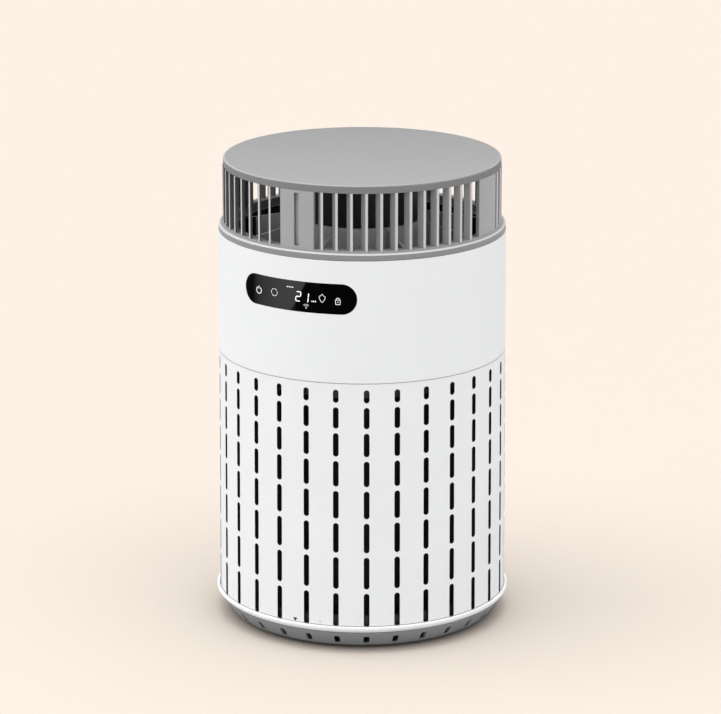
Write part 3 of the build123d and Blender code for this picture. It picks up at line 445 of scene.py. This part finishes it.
def net_finish(colours):
    """Black woven net over the cartridge: round threads that cross over and under, with painted shade between the
    threads and a painted highlight on them.
    """
    shader = Shader("filter_net", IOR=1.5, Sheen_Weight=0.15)
    across, deep, up = shader.axes()
    bearing = shader.maths("ARCTAN2", across, deep)
    pitch = 1.3 * MM
    radius = high("prefilter_mesh").x
    warp = shader.maths("SINE", bearing * (radius / pitch * pi))
    weft = shader.maths("SINE", up * (pi / pitch))
    threads = shader.maths("MAXIMUM", abs(warp), abs(weft))
    fluff = shader.noise(6 * MM, detail=4)
    # Painted shade between the threads and painted highlight on them
    shade, painted_thread_highlight = tinted(colours.inside, 0.4), tinted(colours.inside, 2.2)
    shader.feed("Base Color", shader.mixed(threads * fluff, shade, painted_thread_highlight))
    shader.feed("Roughness", shader.ranged(fluff, 0.3, 0.7, 0.5, 0.75))
    shader.feed("Normal", shader.bump(threads, 0.25 * MM))
    return shader.material


def paper_finish():
    """Pleated fibre media: short felted fibres, a little grey where air is drawn in."""
    shader = Shader("filter_paper", IOR=1.35, Sheen_Weight=0.3)
    fibres = shader.noise(0.8 * MM, detail=8, roughness=0.75)
    soiling = shader.noise(22 * MM, detail=4)
    shader.feed("Base Color", shader.mixed(soiling, (0.74, 0.73, 0.69), (0.55, 0.54, 0.51)))
    shader.feed("Roughness", shader.ranged(fibres, 0.3, 0.7, 0.85, 0.98))
    shader.feed("Normal", shader.bump(fibres, 0.12 * MM))
    return shader.material


def carbon_finish():
    """Carbon granules behind a fine net."""
    shader = Shader("carbon_granules", IOR=1.6)
    granules = shader.cells(1.6 * MM)
    tone = shader.noise(3 * MM, detail=2)
    shader.feed("Base Color", shader.mixed(tone, (0.006, 0.006, 0.006), (0.03, 0.03, 0.031)))
    shader.feed("Roughness", shader.ranged(granules, 0.0, 0.6, 0.4, 0.8))
    shader.feed("Normal", shader.bump(granules, 0.6 * MM))
    return shader.material


def foam_finish():
    """Closed-cell foam of the filter's seal, with painted shade in its pores."""
    shader = Shader("seal_foam", IOR=1.4, Sheen_Weight=0.2)
    pores = shader.cells(0.7 * MM)
    # Painted shade: darker at the bottom of each pore
    shader.feed("Base Color", shader.mixed(pores, (0.012, 0.012, 0.012), (0.05, 0.05, 0.05)))
    shader.feed("Roughness", shader.ranged(pores, 0.0, 0.7, 0.95, 0.75))
    shader.feed("Normal", shader.bump(pores, 0.15 * MM))
    return shader.material


def rubber_finish():
    """Soft rubber of the feet and grommets, with dust in its grain."""
    shader = Shader("foot_rubber", IOR=1.52, Sheen_Weight=0.1)
    fine = shader.noise(0.5 * MM, detail=4, roughness=0.7)
    dust = shader.noise(7 * MM, detail=5)
    shader.feed("Base Color", shader.mixed(dust, (0.018, 0.018, 0.019), (0.045, 0.044, 0.043)))
    shader.feed("Roughness", shader.ranged(dust, 0.3, 0.7, 0.65, 0.85))
    shader.feed("Normal", shader.bump(fine, 0.04 * MM, under=shader.bevel(0.3 * MM)))
    return shader.material


def metal_finish(name, tone, roughness, stretch, depth):
    """Metal with fine lines drawn along one way."""
    shader = Shader(name, Metallic=1.0)
    lines = shader.node("ShaderNodeMapping", None, {"Vector": shader.place(), "Scale": stretch})
    brushed = shader.noise(0.4 * MM, detail=4, roughness=0.7, where=lines)
    patches = shader.noise(5 * MM, detail=3)
    shader.feed("Base Color", shader.mixed(patches, tinted(tone, 0.88), tone))
    shader.feed("Roughness", shader.ranged(brushed, 0.3, 0.7, roughness - 0.08, roughness + 0.1))
    shader.feed("Normal", shader.bump(brushed, depth, under=shader.bevel(0.15 * MM)))
    return shader.material


def copper_finish():
    """Enamelled wire in layers, with painted shade between the turns and a painted highlight on their crests."""
    shader = Shader("copper_wire", Metallic=0.85, Coat_Weight=0.6, Coat_Roughness=0.15)
    up = shader.axes()[2]
    wire = 0.5 * MM
    wires = shader.maths("SINE", up * (2 * pi / wire)) * 0.5 + 0.5
    # Painted shade in the grooves between turns and painted highlight on their crests
    shader.feed("Base Color", shader.mixed(wires, (0.22, 0.07, 0.025), (0.62, 0.25, 0.1)))
    shader.feed("Roughness", 0.42 - wires * 0.14)
    shader.feed("Normal", shader.bump(wires, 0.12 * MM))
    return shader.material


def board_finish():
    """Circuit board: solder mask over copper tracks."""
    shader = Shader("board_green", IOR=1.5, Coat_Weight=0.35, Coat_Roughness=0.2)
    tracks = shader.node(
        "ShaderNodeTexBrick",
        {"offset": 0.37, "squash": 1.6, "squash_frequency": 3},
        {
            "Vector": shader.place(),
            "Color1": (0.012, 0.1, 0.035),
            "Color2": (0.016, 0.12, 0.045),
            "Mortar": (0.03, 0.2, 0.08),
            "Scale": 1.0,
            "Mortar Size": 0.3 * MM,
            "Brick Width": 5.2 * MM,
            "Row Height": 2.1 * MM,
        },
    )
    stain = shader.noise(12 * MM, detail=3)
    shader.feed("Base Color", shader.mixed(stain * 0.3, tracks, (0.02, 0.08, 0.04)))
    shader.feed("Roughness", shader.ranged(stain, 0.3, 0.7, 0.28, 0.42))
    return shader.material


def lens_finish():
    """Milky diffuser of the light bar."""
    shader = Shader("milky_lens", IOR=1.49, Coat_Weight=0.3, Coat_Roughness=0.1)
    cloud = shader.noise(6 * MM, detail=2)
    shader.feed("Base Color", shader.mixed(cloud, (0.56, 0.57, 0.58), (0.66, 0.67, 0.68)))
    shader.feed("Roughness", shader.ranged(cloud, 0.3, 0.7, 0.3, 0.45))
    return shader.material


def glow_finish(name, tone, strength):
    """A lit mark: even light with soft falloff at random dots, as from a lamp behind a print."""
    shader = Shader(name, Roughness=0.5, Emission_Strength=strength)
    speckle = shader.noise(1.5 * MM, detail=2)
    shader.feed("Base Color", tinted(tone, 0.5))
    shader.feed("Emission Color", shader.mixed(speckle, tinted(tone, 0.86), tone))
    return shader.material


def print_finish(name, tone):
    """Ink printed on a moulded shell."""
    shader = Shader(name, IOR=1.45)
    ink = shader.noise(0.5 * MM, detail=3)
    shader.feed("Base Color", shader.mixed(ink, tinted(tone, 0.85), tinted(tone, 1.1)))
    shader.feed("Roughness", shader.ranged(ink, 0.3, 0.7, 0.45, 0.6))
    return shader.material


def finishes(colours):
    """Every material slot of the record, with its finish."""
    dark = tuple(colours.inside)
    return {
        "white_shell": moulded("white_shell", tuple(colours.shell), 0.42, 0.5 * MM, 0.006 * MM, 0.3 * MM),
        "lid_grey": moulded("lid_grey", tuple(colours.lid), 0.56, 0.6 * MM, 0.006 * MM, 0, tones=lid_painted_light),
        "grey_shell": moulded(
            "grille_grey", tuple(colours.grille), 0.4, 0.5 * MM, 0.008 * MM, 0.3 * MM, tones=grille_painted_light
        ),
        "base_grey": moulded("base_grey", tuple(colours.base), 0.55, 0.7 * MM, 0.02 * MM, 0.3 * MM),
        "dark_plastic": moulded("dark_plastic", dark, 0.5, 0.7 * MM, 0.02 * MM, 0.25 * MM, dust=0.03),
        "component_black": moulded("component_black", dark, 0.4, 0.9 * MM, 0.03 * MM, 0.2 * MM),
        "lead_jacket": moulded("lead_jacket", tinted(dark, 1.3), 0.6, 0.6 * MM, 0.02 * MM, 0),
        "fan_plastic": moulded("fan_plastic", tinted(dark, 2.4), 0.45, 0.6 * MM, 0.02 * MM, 0.25 * MM),
        "black_window": window_finish(),
        "rubber": rubber_finish(),
        "filter_mesh": net_finish(colours),
        "filter_paper": paper_finish(),
        "carbon": carbon_finish(),
        "foam": foam_finish(),
        "steel": metal_finish("zinc_steel", (0.58, 0.58, 0.57), 0.34, (1, 1, 0.1), 0.01 * MM),
        "magnet": metal_finish("dark_ferrite", (0.09, 0.09, 0.095), 0.5, (1, 1, 1), 0.03 * MM),
        "copper": copper_finish(),
        "board_green": board_finish(),
        "lamp_white": lens_finish(),
    }


# ---- Modelling helpers -----------------------------------------------------------------------


@contextmanager
def editing(piece):
    """Edit mode on one piece alone."""
    bpy.ops.object.select_all(action="DESELECT")
    bpy.context.view_layer.objects.active = piece
    piece.select_set(True)
    bpy.ops.object.mode_set(mode="EDIT")
    yield
    bpy.ops.object.mode_set(mode="OBJECT")


def choose_faces(piece, test):
    """In edit mode, selects the faces that pass a test."""
    bpy.ops.mesh.select_mode(type="FACE")
    bpy.ops.mesh.select_all(action="DESELECT")
    mesh = bmesh.from_edit_mesh(piece.data)
    for face in mesh.faces:
        face.select_set(test(face))
    bmesh.update_edit_mesh(piece.data)


def choose_edges(piece, test):
    """In edit mode, selects the edges that pass a test."""
    bpy.ops.mesh.select_mode(type="EDGE")
    bpy.ops.mesh.select_all(action="DESELECT")
    mesh = bmesh.from_edit_mesh(piece.data)
    for edge in mesh.edges:
        edge.select_set(test(edge))
    bmesh.update_edit_mesh(piece.data)


def settled(piece):
    """Puts a piece's place into its mesh and leaves its object at the origin."""
    bpy.ops.object.select_all(action="DESELECT")
    piece.select_set(True)
    bpy.context.view_layer.objects.active = piece
    bpy.ops.object.transform_apply(location=True, rotation=True, scale=True)
    return piece


def joined(pieces, name):
    """Several pieces made one."""
    bpy.ops.object.select_all(action="DESELECT")
    for piece in pieces:
        piece.select_set(True)
    bpy.context.view_layer.objects.active = pieces[0]
    if len(pieces) > 1:
        bpy.ops.object.join()
    pieces[0].name = name
    return pieces[0]


def finished(piece, material, body):
    """Gives a piece its finish and the body it moves with."""
    piece.data.materials.clear()
    piece.data.materials.append(material)
    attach(piece, body)
    return piece


def arc(middle, radius, first, last, steps):
    """Points along an arc, from one bearing to another, counted from upwards."""
    return [
        (middle[0] + radius * sin(radians(first + (last - first) * i / steps)),
         middle[1] + radius * cos(radians(first + (last - first) * i / steps)))
        for i in range(steps + 1)
    ]


def patch(outline):
    """A flat face with this outline."""
    bpy.ops.object.select_all(action="DESELECT")
    bpy.ops.mesh.primitive_circle_add(vertices=len(outline), radius=1, fill_type="NGON")
    piece = bpy.context.active_object
    for corner, (across, up) in zip(piece.data.vertices, outline):
        corner.co = across, up, 0
    return piece


def outlined(outline, stroke):
    """A line of even width inside an outline."""
    piece = patch(outline)
    with editing(piece):
        bpy.ops.mesh.select_all(action="SELECT")
        bpy.ops.mesh.inset(thickness=stroke, depth=0)
        choose_faces(piece, lambda face: len(face.verts) != 4)
        bpy.ops.mesh.delete(type="FACE")
    return piece


def hoop(middle, radius, stroke, keep=lambda bearing: True):
    """A ring of even width, without the stretches that keep turns away."""
    steps = 48
    piece = outlined(arc(middle, radius, 0, 360 * (1 - 1 / steps), steps - 1), stroke)

    def outside(face):
        place = face.calc_center_median()
        return not keep(Vector((place.x - middle[0], place.y - middle[1])))

    with editing(piece):
        choose_faces(piece, outside)
        bpy.ops.mesh.delete(type="FACE")
    return piece


def bar(start, end, width):
    """A straight bar with pointed ends."""
    start, end = Vector(start), Vector(end)
    along = (end - start).normalized()
    side = Vector((-along.y, along.x)) * width / 2
    point = along * width / 2
    corners = [start, start + point + side, end - point + side, end, end - point - side, start + point - side]
    return patch([tuple(corner) for corner in corners])


def on_shell(piece, middle, lift, thickness):
    """Gives a flat mark its thickness and lays it round the shell: X runs round, Y goes up."""
    with editing(piece):
        bpy.ops.mesh.select_all(action="SELECT")
        bpy.ops.mesh.normals_make_consistent(inside=False)
        bpy.ops.mesh.extrude_region_move(TRANSFORM_OT_translate={"value": (0, 0, thickness)})
    for corner in piece.data.vertices:
        height = middle + corner.co.y
        radius = shell_radius(height) + lift + corner.co.z
        bearing = corner.co.x / shell_radius(middle)
        corner.co = radius * sin(bearing), -radius * cos(bearing), height
    with editing(piece):
        bpy.ops.mesh.select_all(action="SELECT")
        bpy.ops.mesh.normals_make_consistent(inside=False)
    return piece


# ---- Display marks ---------------------------------------------------------------------------

# The lit bars of each digit, lettered round from the top
DIGITS = {"2": "abged", "1": "bc"}


def digit(figure, middle, display):
    """One digit of slanted bars."""
    half, tall, gap = display.digit_width / 2, display.digit_height / 2, display.digit_stroke * 0.12
    places = {
        "a": ((-half, tall), (half, tall)),
        "b": ((half, tall), (half, 0)),
        "c": ((half, 0), (half, -tall)),
        "d": ((-half, -tall), (half, -tall)),
        "e": ((-half, 0), (-half, -tall)),
        "f": ((-half, tall), (-half, 0)),
        "g": ((-half, 0), (half, 0)),
    }
    bars = []
    for segment in DIGITS[figure]:
        start, end = (Vector(place) for place in places[segment])
        inset = (end - start).normalized() * gap
        bars.append(bar(start + inset, end - inset, display.digit_stroke))
    piece = joined(bars, "digit_" + figure)
    lean = sin(display.digit_slant)
    for corner in piece.data.vertices:
        corner.co.x += middle[0] + lean * corner.co.y
        corner.co.y += middle[1]
    return piece


def power_mark(middle, stroke):
    """A broken ring with an upright bar in its gap."""
    radius = 2.75 * MM
    ring = hoop(middle, radius, stroke, keep=lambda way: way.y < 0.5 * radius or abs(way.x) > 0.5 * radius)
    stem = bar((middle[0], middle[1] + 0.35 * radius), (middle[0], middle[1] + 1.25 * radius), stroke)
    return [ring, stem]


def ring_mark(middle, stroke):
    """A ring of dashes, for the mode."""
    radius = 2.9 * MM
    dashes = 6

    def dash(way):
        turn = Vector((0, 1)).angle_signed(way) / (2 * pi) * dashes
        return abs(turn - round(turn)) > 0.09

    return [hoop(middle, radius, 0.75 * stroke, keep=dash)]


def shield_mark(middle, stroke):
    """A shield: straight shoulders that meet in a peak, and sides that draw in to a point."""
    half, tall = 2.5 * MM, 3.3 * MM
    right = [(half * 0.62, tall * 0.58), (half, tall * 0.42), (half * 0.9, -tall * 0.1), (half * 0.5, -tall * 0.66)]
    left = [(-across, up) for across, up in reversed(right)]
    outline = [(0, tall)] + right + [(0, -tall)] + left
    return [outlined([(middle[0] + across, middle[1] + up) for across, up in outline], 0.7 * stroke)]


def lock_mark(middle, stroke):
    """A padlock: a box with a keyhole under a round shackle."""
    half, tall = 1.9 * MM, 1.9 * MM
    centre = middle[0], middle[1] - 1.1 * MM
    corner = 0.5 * MM
    outline = []
    for side_x, side_y, turn in ((1, 1, 0), (1, -1, 90), (-1, -1, 180), (-1, 1, 270)):
        place = centre[0] + side_x * (half - corner), centre[1] + side_y * (tall - corner)
        outline += arc(place, corner, turn, turn + 90, 3)
    foot = centre[1] + tall
    shackle = hoop((middle[0], foot), 1.45 * MM, 0.8 * stroke, keep=lambda way: way.y > -0.02 * MM)
    return [
        outlined(outline, 0.8 * stroke),
        shackle,
        bar((centre[0], centre[1] + 0.5 * MM), (centre[0], centre[1] - 0.6 * MM), 0.5 * MM),
    ]


def signal_mark(middle, stroke):
    """A fan of arcs over a dot."""
    reach = 3.2 * MM
    spread = cos(radians(42))
    arcs = [
        hoop(middle, reach * part, 0.75 * stroke, keep=lambda way: way.normalized().y > spread)
        for part in (1.0, 0.68)
    ]
    return arcs + [patch(arc((middle[0], middle[1] + 0.25 * MM), 0.55 * MM, 0, 330, 11))]


def dashes(middle, count, length, width):
    """A short row of dashes."""
    pitch = 1.35 * length
    first = middle[0] - pitch * (count - 1) / 2
    return [
        bar((first + pitch * i - length / 2, middle[1]), (first + pitch * i + length / 2, middle[1]), width)
        for i in range(count)
    ]


class PURIFIER_OT_display(Operator):
    """Adds the lit marks and digits on the display window"""

    bl_idname = "purifier.display"
    bl_label = "Display marks"

    def execute(self, context):
        settings = context.scene.purifier
        display = settings.display
        stroke = display.stroke
        bright = glow_finish("display_glow", tuple(settings.colours.glow), display.glow)
        faint = glow_finish("display_faint_glow", tuple(settings.colours.glow), 0.42 * display.glow)
        marks = {
            "power_mark": (power_mark((-33.0 * MM, -0.5 * MM), 1.2 * stroke), bright),
            "mode_mark": (ring_mark((-17.7 * MM, 0.4 * MM), 1.15 * stroke), bright),
            "level_mark": (dashes((-3.7 * MM, 6.4 * MM), 4, 1.1 * MM, 1.0 * MM), bright),
            "tens_digit": ([digit("2", (3.2 * MM, 0.0), display)], bright),
            "ones_digit": ([digit("1", (9.4 * MM, -0.4 * MM), display)], bright),
            "unit_mark": (dashes((15.6 * MM, -2.7 * MM), 3, 1.0 * MM, 1.3 * MM), bright),
            "signal_mark": (signal_mark((9.6 * MM, -8.4 * MM), stroke), faint),
            "shield_mark": (shield_mark((22.1 * MM, 0.1 * MM), stroke), bright),
            "lock_mark": (lock_mark((34.0 * MM, -1.1 * MM), stroke), bright),
        }
        for name, (pieces, material) in marks.items():
            piece = on_shell(joined(pieces, name), display_middle, display.lift, display.thickness)
            finished(settled(piece), material, "housing")
        return {"FINISHED"}


# ---- Printed marks ---------------------------------------------------------------------------


class PURIFIER_OT_printed_marks(Operator):
    """Adds the two small marks above the rim that show where the base locks and lets go"""

    bl_idname = "purifier.printed_marks"
    bl_label = "Lock marks"

    def execute(self, context):
        settings = context.scene.purifier
        small = settings.small_pieces
        half, tall = small.mark_width / 2, small.mark_height
        foot = rim_top + small.mark_gap
        arrow = patch([(-half, tall), (half, tall), (0, 0)])
        finished(
            settled(on_shell(arrow, foot, settings.display.lift, settings.display.thickness)),
            print_finish("dark_print", (0.03, 0.03, 0.03)),
            "housing",
        ).name = "locked_mark"
        across = shell_radius(foot) * small.release_bearing
        release = outlined([(across - half / 2, tall), (across + half / 2, tall), (across, tall / 3)], half / 8)
        finished(
            settled(on_shell(release, foot, settings.display.lift, settings.display.thickness)),
            print_finish("grey_print", (0.5, 0.5, 0.5)),
            "housing",
        ).name = "released_mark"
        return {"FINISHED"}


# ---- Joints ----------------------------------------------------------------------------------


class PURIFIER_OT_joints(Operator):
    """Adds thin rings as painted shadow lines where two pieces of the shell meet"""

    bl_idname = "purifier.joints"
    bl_label = "Joint lines"

    def execute(self, context):
        settings = context.scene.purifier
        width, lift = settings.small_pieces.joint_width, settings.display.lift
        rim_foot = low("base_rim").z
        # Painted shadow of the gaps: dark at the flange and under the rim, grey at the seam and above the rim's lip
        dark = print_finish("joint_painted_shadow", (0.05, 0.05, 0.05))
        pale = print_finish("joint_painted_grey_shadow", (0.33, 0.33, 0.33))
        lines = {
            "flange_joint": (low("outlet_grille").z - width / 2, shell_radius(low("outlet_grille").z), dark, "housing"),
            "seam_joint": (seam, shell_radius(seam), pale, "housing"),
            "lip_joint": (rim_top + width / 2, shell_radius(rim_top), pale, "housing"),
            "rim_joint": (rim_foot - width / 2, high("base_cover").x, dark, "base"),
        }
        for name, (height, radius, material, body) in lines.items():
            bpy.ops.object.select_all(action="DESELECT")
            bpy.ops.mesh.primitive_cylinder_add(
                vertices=360, radius=radius + lift, depth=width, end_fill_type="NOTHING", location=(0, 0, height)
            )
            line = context.active_object
            with editing(line):
                bpy.ops.mesh.select_all(action="SELECT")
                bpy.ops.mesh.solidify(thickness=settings.display.thickness)
                bpy.ops.mesh.normals_make_consistent(inside=False)
            line.name = name
            finished(settled(line), material, body)
        return {"FINISHED"}


# ---- Feet ------------------------------------------------------------------------------------


class PURIFIER_OT_feet(Operator):
    """Replaces the plain feet with rubber pads that have a rounded edge and ring grooves"""

    bl_idname = "purifier.feet"
    bl_label = "Feet"

    def execute(self, context):
        settings = context.scene.purifier
        small = settings.small_pieces
        rubber = bpy.data.materials["foot_rubber"]
        for node in sorted(name for name in frame["nodes"] if name.startswith("foot_")):
            bottom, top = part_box(node)
            middle = (bottom + top) / 2
            radius = (top.x - bottom.x) / 2
            bpy.ops.object.select_all(action="DESELECT")
            bpy.ops.mesh.primitive_cylinder_add(
                vertices=64, radius=radius, depth=top.z - bottom.z, end_fill_type="NGON", location=middle
            )
            pad = bpy.context.active_object
            under = (top.z - bottom.z) / 2
            with editing(pad):
                choose_edges(pad, lambda edge: all(v.co.z < 0 for v in edge.verts))
                bpy.ops.mesh.bevel(offset=0.8 * MM, segments=4, affect="EDGES")
                for _ in range(small.tread_rings):
                    choose_faces(pad, lambda face: len(face.verts) > 4 and face.calc_center_median().z < 1e-6 - under)
                    bpy.ops.mesh.inset(thickness=radius * 0.16, depth=0)
                    bpy.ops.mesh.inset(thickness=radius * 0.02, depth=0)
                    bpy.ops.mesh.extrude_region_move(TRANSFORM_OT_translate={"value": (0, 0, small.tread_depth)})
                    bpy.ops.mesh.inset(thickness=radius * 0.06, depth=0)
                    bpy.ops.mesh.extrude_region_move(TRANSFORM_OT_translate={"value": (0, 0, -small.tread_depth)})
                bpy.ops.mesh.select_all(action="SELECT")
                bpy.ops.mesh.normals_make_consistent(inside=False)
            settled(pad)
            bpy.ops.object.shade_smooth_by_angle(angle=radians(35))
            pad.name = "rubber_pad_" + node[-1]
            finished(pad, rubber, "base")
            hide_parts(node)
        return {"FINISHED"}


# ---- Finishes on the CAD nodes ---------------------------------------------------------------


def special_finishes(colours):
    """Nodes whose finish differs from the rest of their slot."""
    dark = tuple(colours.inside)
    shell = tuple(colours.shell)
    return {
        "perforated_sleeve": moulded(
            "slotted_shell", shell, 0.42, 0.5 * MM, 0.006 * MM, 0,
            tones=lambda shader, body: sleeve_painted_shade(shader, body, dark),
        ),
        "diffuser": moulded(
            "hub_grey", tuple(colours.hub), 0.4, 0.5 * MM, 0.008 * MM, 0.3 * MM,
            tones=lambda shader, body: hub_painted_light(shader, body, dark),
        ),
        "base_cover": moulded(
            "cone_grey", tuple(colours.base), 0.55, 0.7 * MM, 0.02 * MM, 0.3 * MM,
            tones=lambda shader, body: base_painted_shade(shader, body, dark),
        ),
        "filter_top_cap": moulded("cap_grey", (0.34, 0.34, 0.34), 0.5, 0.7 * MM, 0.02 * MM, 0.25 * MM),
        "fan_deck": moulded("deck_grey", tuple(colours.deck), 0.5, 0.7 * MM, 0.02 * MM, 0.25 * MM),
    }


class PURIFIER_OT_finishes(Operator):
    """Gives every CAD node the finish of its material slot"""

    bl_idname = "purifier.finishes"
    bl_label = "Finishes"

    def execute(self, context):
        made = finishes(context.scene.purifier.colours)
        special = special_finishes(context.scene.purifier.colours)
        for part in frame["record"]["subparts"]:
            node = frame["nodes"][part["node"]]
            node.data.materials.clear()
            node.data.materials.append(special.get(part["node"], made[part["material_slot"]]))
        return {"FINISHED"}


# ---- Stage -----------------------------------------------------------------------------------


def placed(light, place, target):
    """Puts a light in the scene and points it at a target. The camera doesn't see it."""
    bpy.context.scene.collection.objects.link(light)
    light.location = place
    light.rotation_euler = (Vector(target) - Vector(place)).to_track_quat("-Z", "Y").to_euler()
    light.visible_camera = False
    return light


def soft_sun(name, strength, place, target):
    """A wide soft light, as even over the floor as a bright ceiling."""
    lamp = bpy.data.lights.new(name, "SUN")
    lamp.energy, lamp.angle = strength, radians(75)
    return placed(bpy.data.objects.new(name, lamp), place, target)


def mirrored_card(name, power, width, height, edge, target, tilt, mirror):
    """A lit card that only one piece mirrors. Its lower edge passes through a place, at a tilt."""
    lamp = bpy.data.lights.new(name, "AREA")
    lamp.shape = "RECTANGLE"
    lamp.energy, lamp.size, lamp.size_y = power, width, height
    lamp.spread = radians(96)
    card = placed(bpy.data.objects.new(name, lamp), edge, target)
    turned = card.rotation_euler.to_matrix() @ Matrix.Rotation(tilt, 3, "Z")
    card.rotation_euler = turned.to_euler()
    card.location = Vector(edge) + turned @ Vector((0, height / 2, 0))
    card.visible_diffuse = False
    lit = bpy.data.collections.new(name + "_mirror")
    lit.objects.link(mirror)
    card.light_linking.receiver_collection = lit
    return card


def around(bearing, distance, height):
    """A place in the room: bearing from the tower's front, positive to its right."""
    a = radians(bearing)
    return distance * sin(a), -distance * cos(a), height


class PURIFIER_OT_stage(Operator):
    """Adds the pale floor, the soft lights and the camera"""

    bl_idname = "purifier.stage"
    bl_label = "Stage"

    def execute(self, context):
        stage = context.scene.purifier.stage
        bpy.ops.object.select_all(action="DESELECT")
        bpy.ops.mesh.primitive_plane_add(size=40)
        floor = context.active_object
        floor.name = "floor"
        paint = Shader("pale_floor", Roughness=0.95, Specular_IOR_Level=0.0)
        bounced = (sum(stage.floor) / 3,) * 3
        seen = paint.node("ShaderNodeLightPath", output="Is Camera Ray")
        paint.feed("Base Color", paint.mixed(seen, bounced, tuple(stage.floor)))
        floor.data.materials.append(paint.material)

        world = bpy.data.worlds.new("even_light")
        context.scene.world = world
        world.use_nodes = True
        world.node_tree.nodes["Background"].inputs["Color"].default_value = (1, 1, 1, 1)
        world.node_tree.nodes["Background"].inputs["Strength"].default_value = stage.sky

        middle = 0, 0, (cad_box[0].z + cad_box[1].z) / 2
        soft_sun("top_light", stage.top_light, around(20, 0.1, 2.0), middle)
        soft_sun("left_light", stage.left_light, around(-60, 1.5, 0.9), middle)
        soft_sun("right_light", stage.right_light, around(75, 1.5, 0.9), middle)
        edge, facing_place = around(-23.7, 0.51, 0.163), around(-23.7, 0.11, 0.163)
        window = frame["nodes"]["display_window"]
        mirrored_card("card_light", stage.card_light, 1.8, 0.5, edge, facing_place, stage.card_tilt, window)

        camera = bpy.data.objects.new("camera", bpy.data.cameras.new("camera"))
        context.scene.collection.objects.link(camera)
        camera.data.sensor_width = 36
        camera.data.lens = stage.lens
        turn, rise = stage.azimuth, stage.elevation
        back = Vector((sin(turn) * cos(rise), -cos(turn) * cos(rise), sin(rise)))
        right = Vector((cos(turn), sin(turn), 0))
        target = Vector((0, 0, stage.target_height)) - right * stage.target_shift
        camera.location = target + back * stage.distance
        camera.rotation_euler = (-back).to_track_quat("-Z", "Y").to_euler()
        context.scene.camera = camera
        context.scene.view_settings.view_transform = "Standard"
        return {"FINISHED"}


# ---- Add-on ----------------------------------------------------------------------------------


class PURIFIER_PT_panel(Panel):
    """The tower's settings and steps"""

    bl_label = "Tower air purifier"
    bl_idname = "PURIFIER_PT_panel"
    bl_space_type = "VIEW_3D"
    bl_region_type = "UI"
    bl_category = "Purifier"

    def draw(self, context):
        settings = context.scene.purifier
        for group in (settings.colours, settings.display, settings.small_pieces, settings.stage):
            box = self.layout.box()
            for name in type(group).__annotations__:
                box.prop(group, name)
        for operator in STEPS:
            self.layout.operator(operator.bl_idname)


STEPS = (
    PURIFIER_OT_stage,
    PURIFIER_OT_finishes,
    PURIFIER_OT_display,
    PURIFIER_OT_printed_marks,
    PURIFIER_OT_joints,
    PURIFIER_OT_feet,
)
CLASSES = (
    PURIFIER_PG_colours,
    PURIFIER_PG_display,
    PURIFIER_PG_small_pieces,
    PURIFIER_PG_stage,
    PURIFIER_PG_settings,
    *STEPS,
    PURIFIER_PT_panel,
)


def register():
    """Adds the add-on's classes and settings."""
    for item in CLASSES:
        bpy.utils.register_class(item)
    bpy.types.Scene.purifier = PointerProperty(type=PURIFIER_PG_settings)


def unregister():
    """Takes the add-on's classes and settings away."""
    del bpy.types.Scene.purifier
    for item in reversed(CLASSES):
        bpy.utils.unregister_class(item)


def main():
    """Builds the whole scene, step by step."""
    register()
    for operator in STEPS:
        group, step = operator.bl_idname.split(".")
        getattr(getattr(bpy.ops, group), step)()


if __name__ == "__main__":
    main()
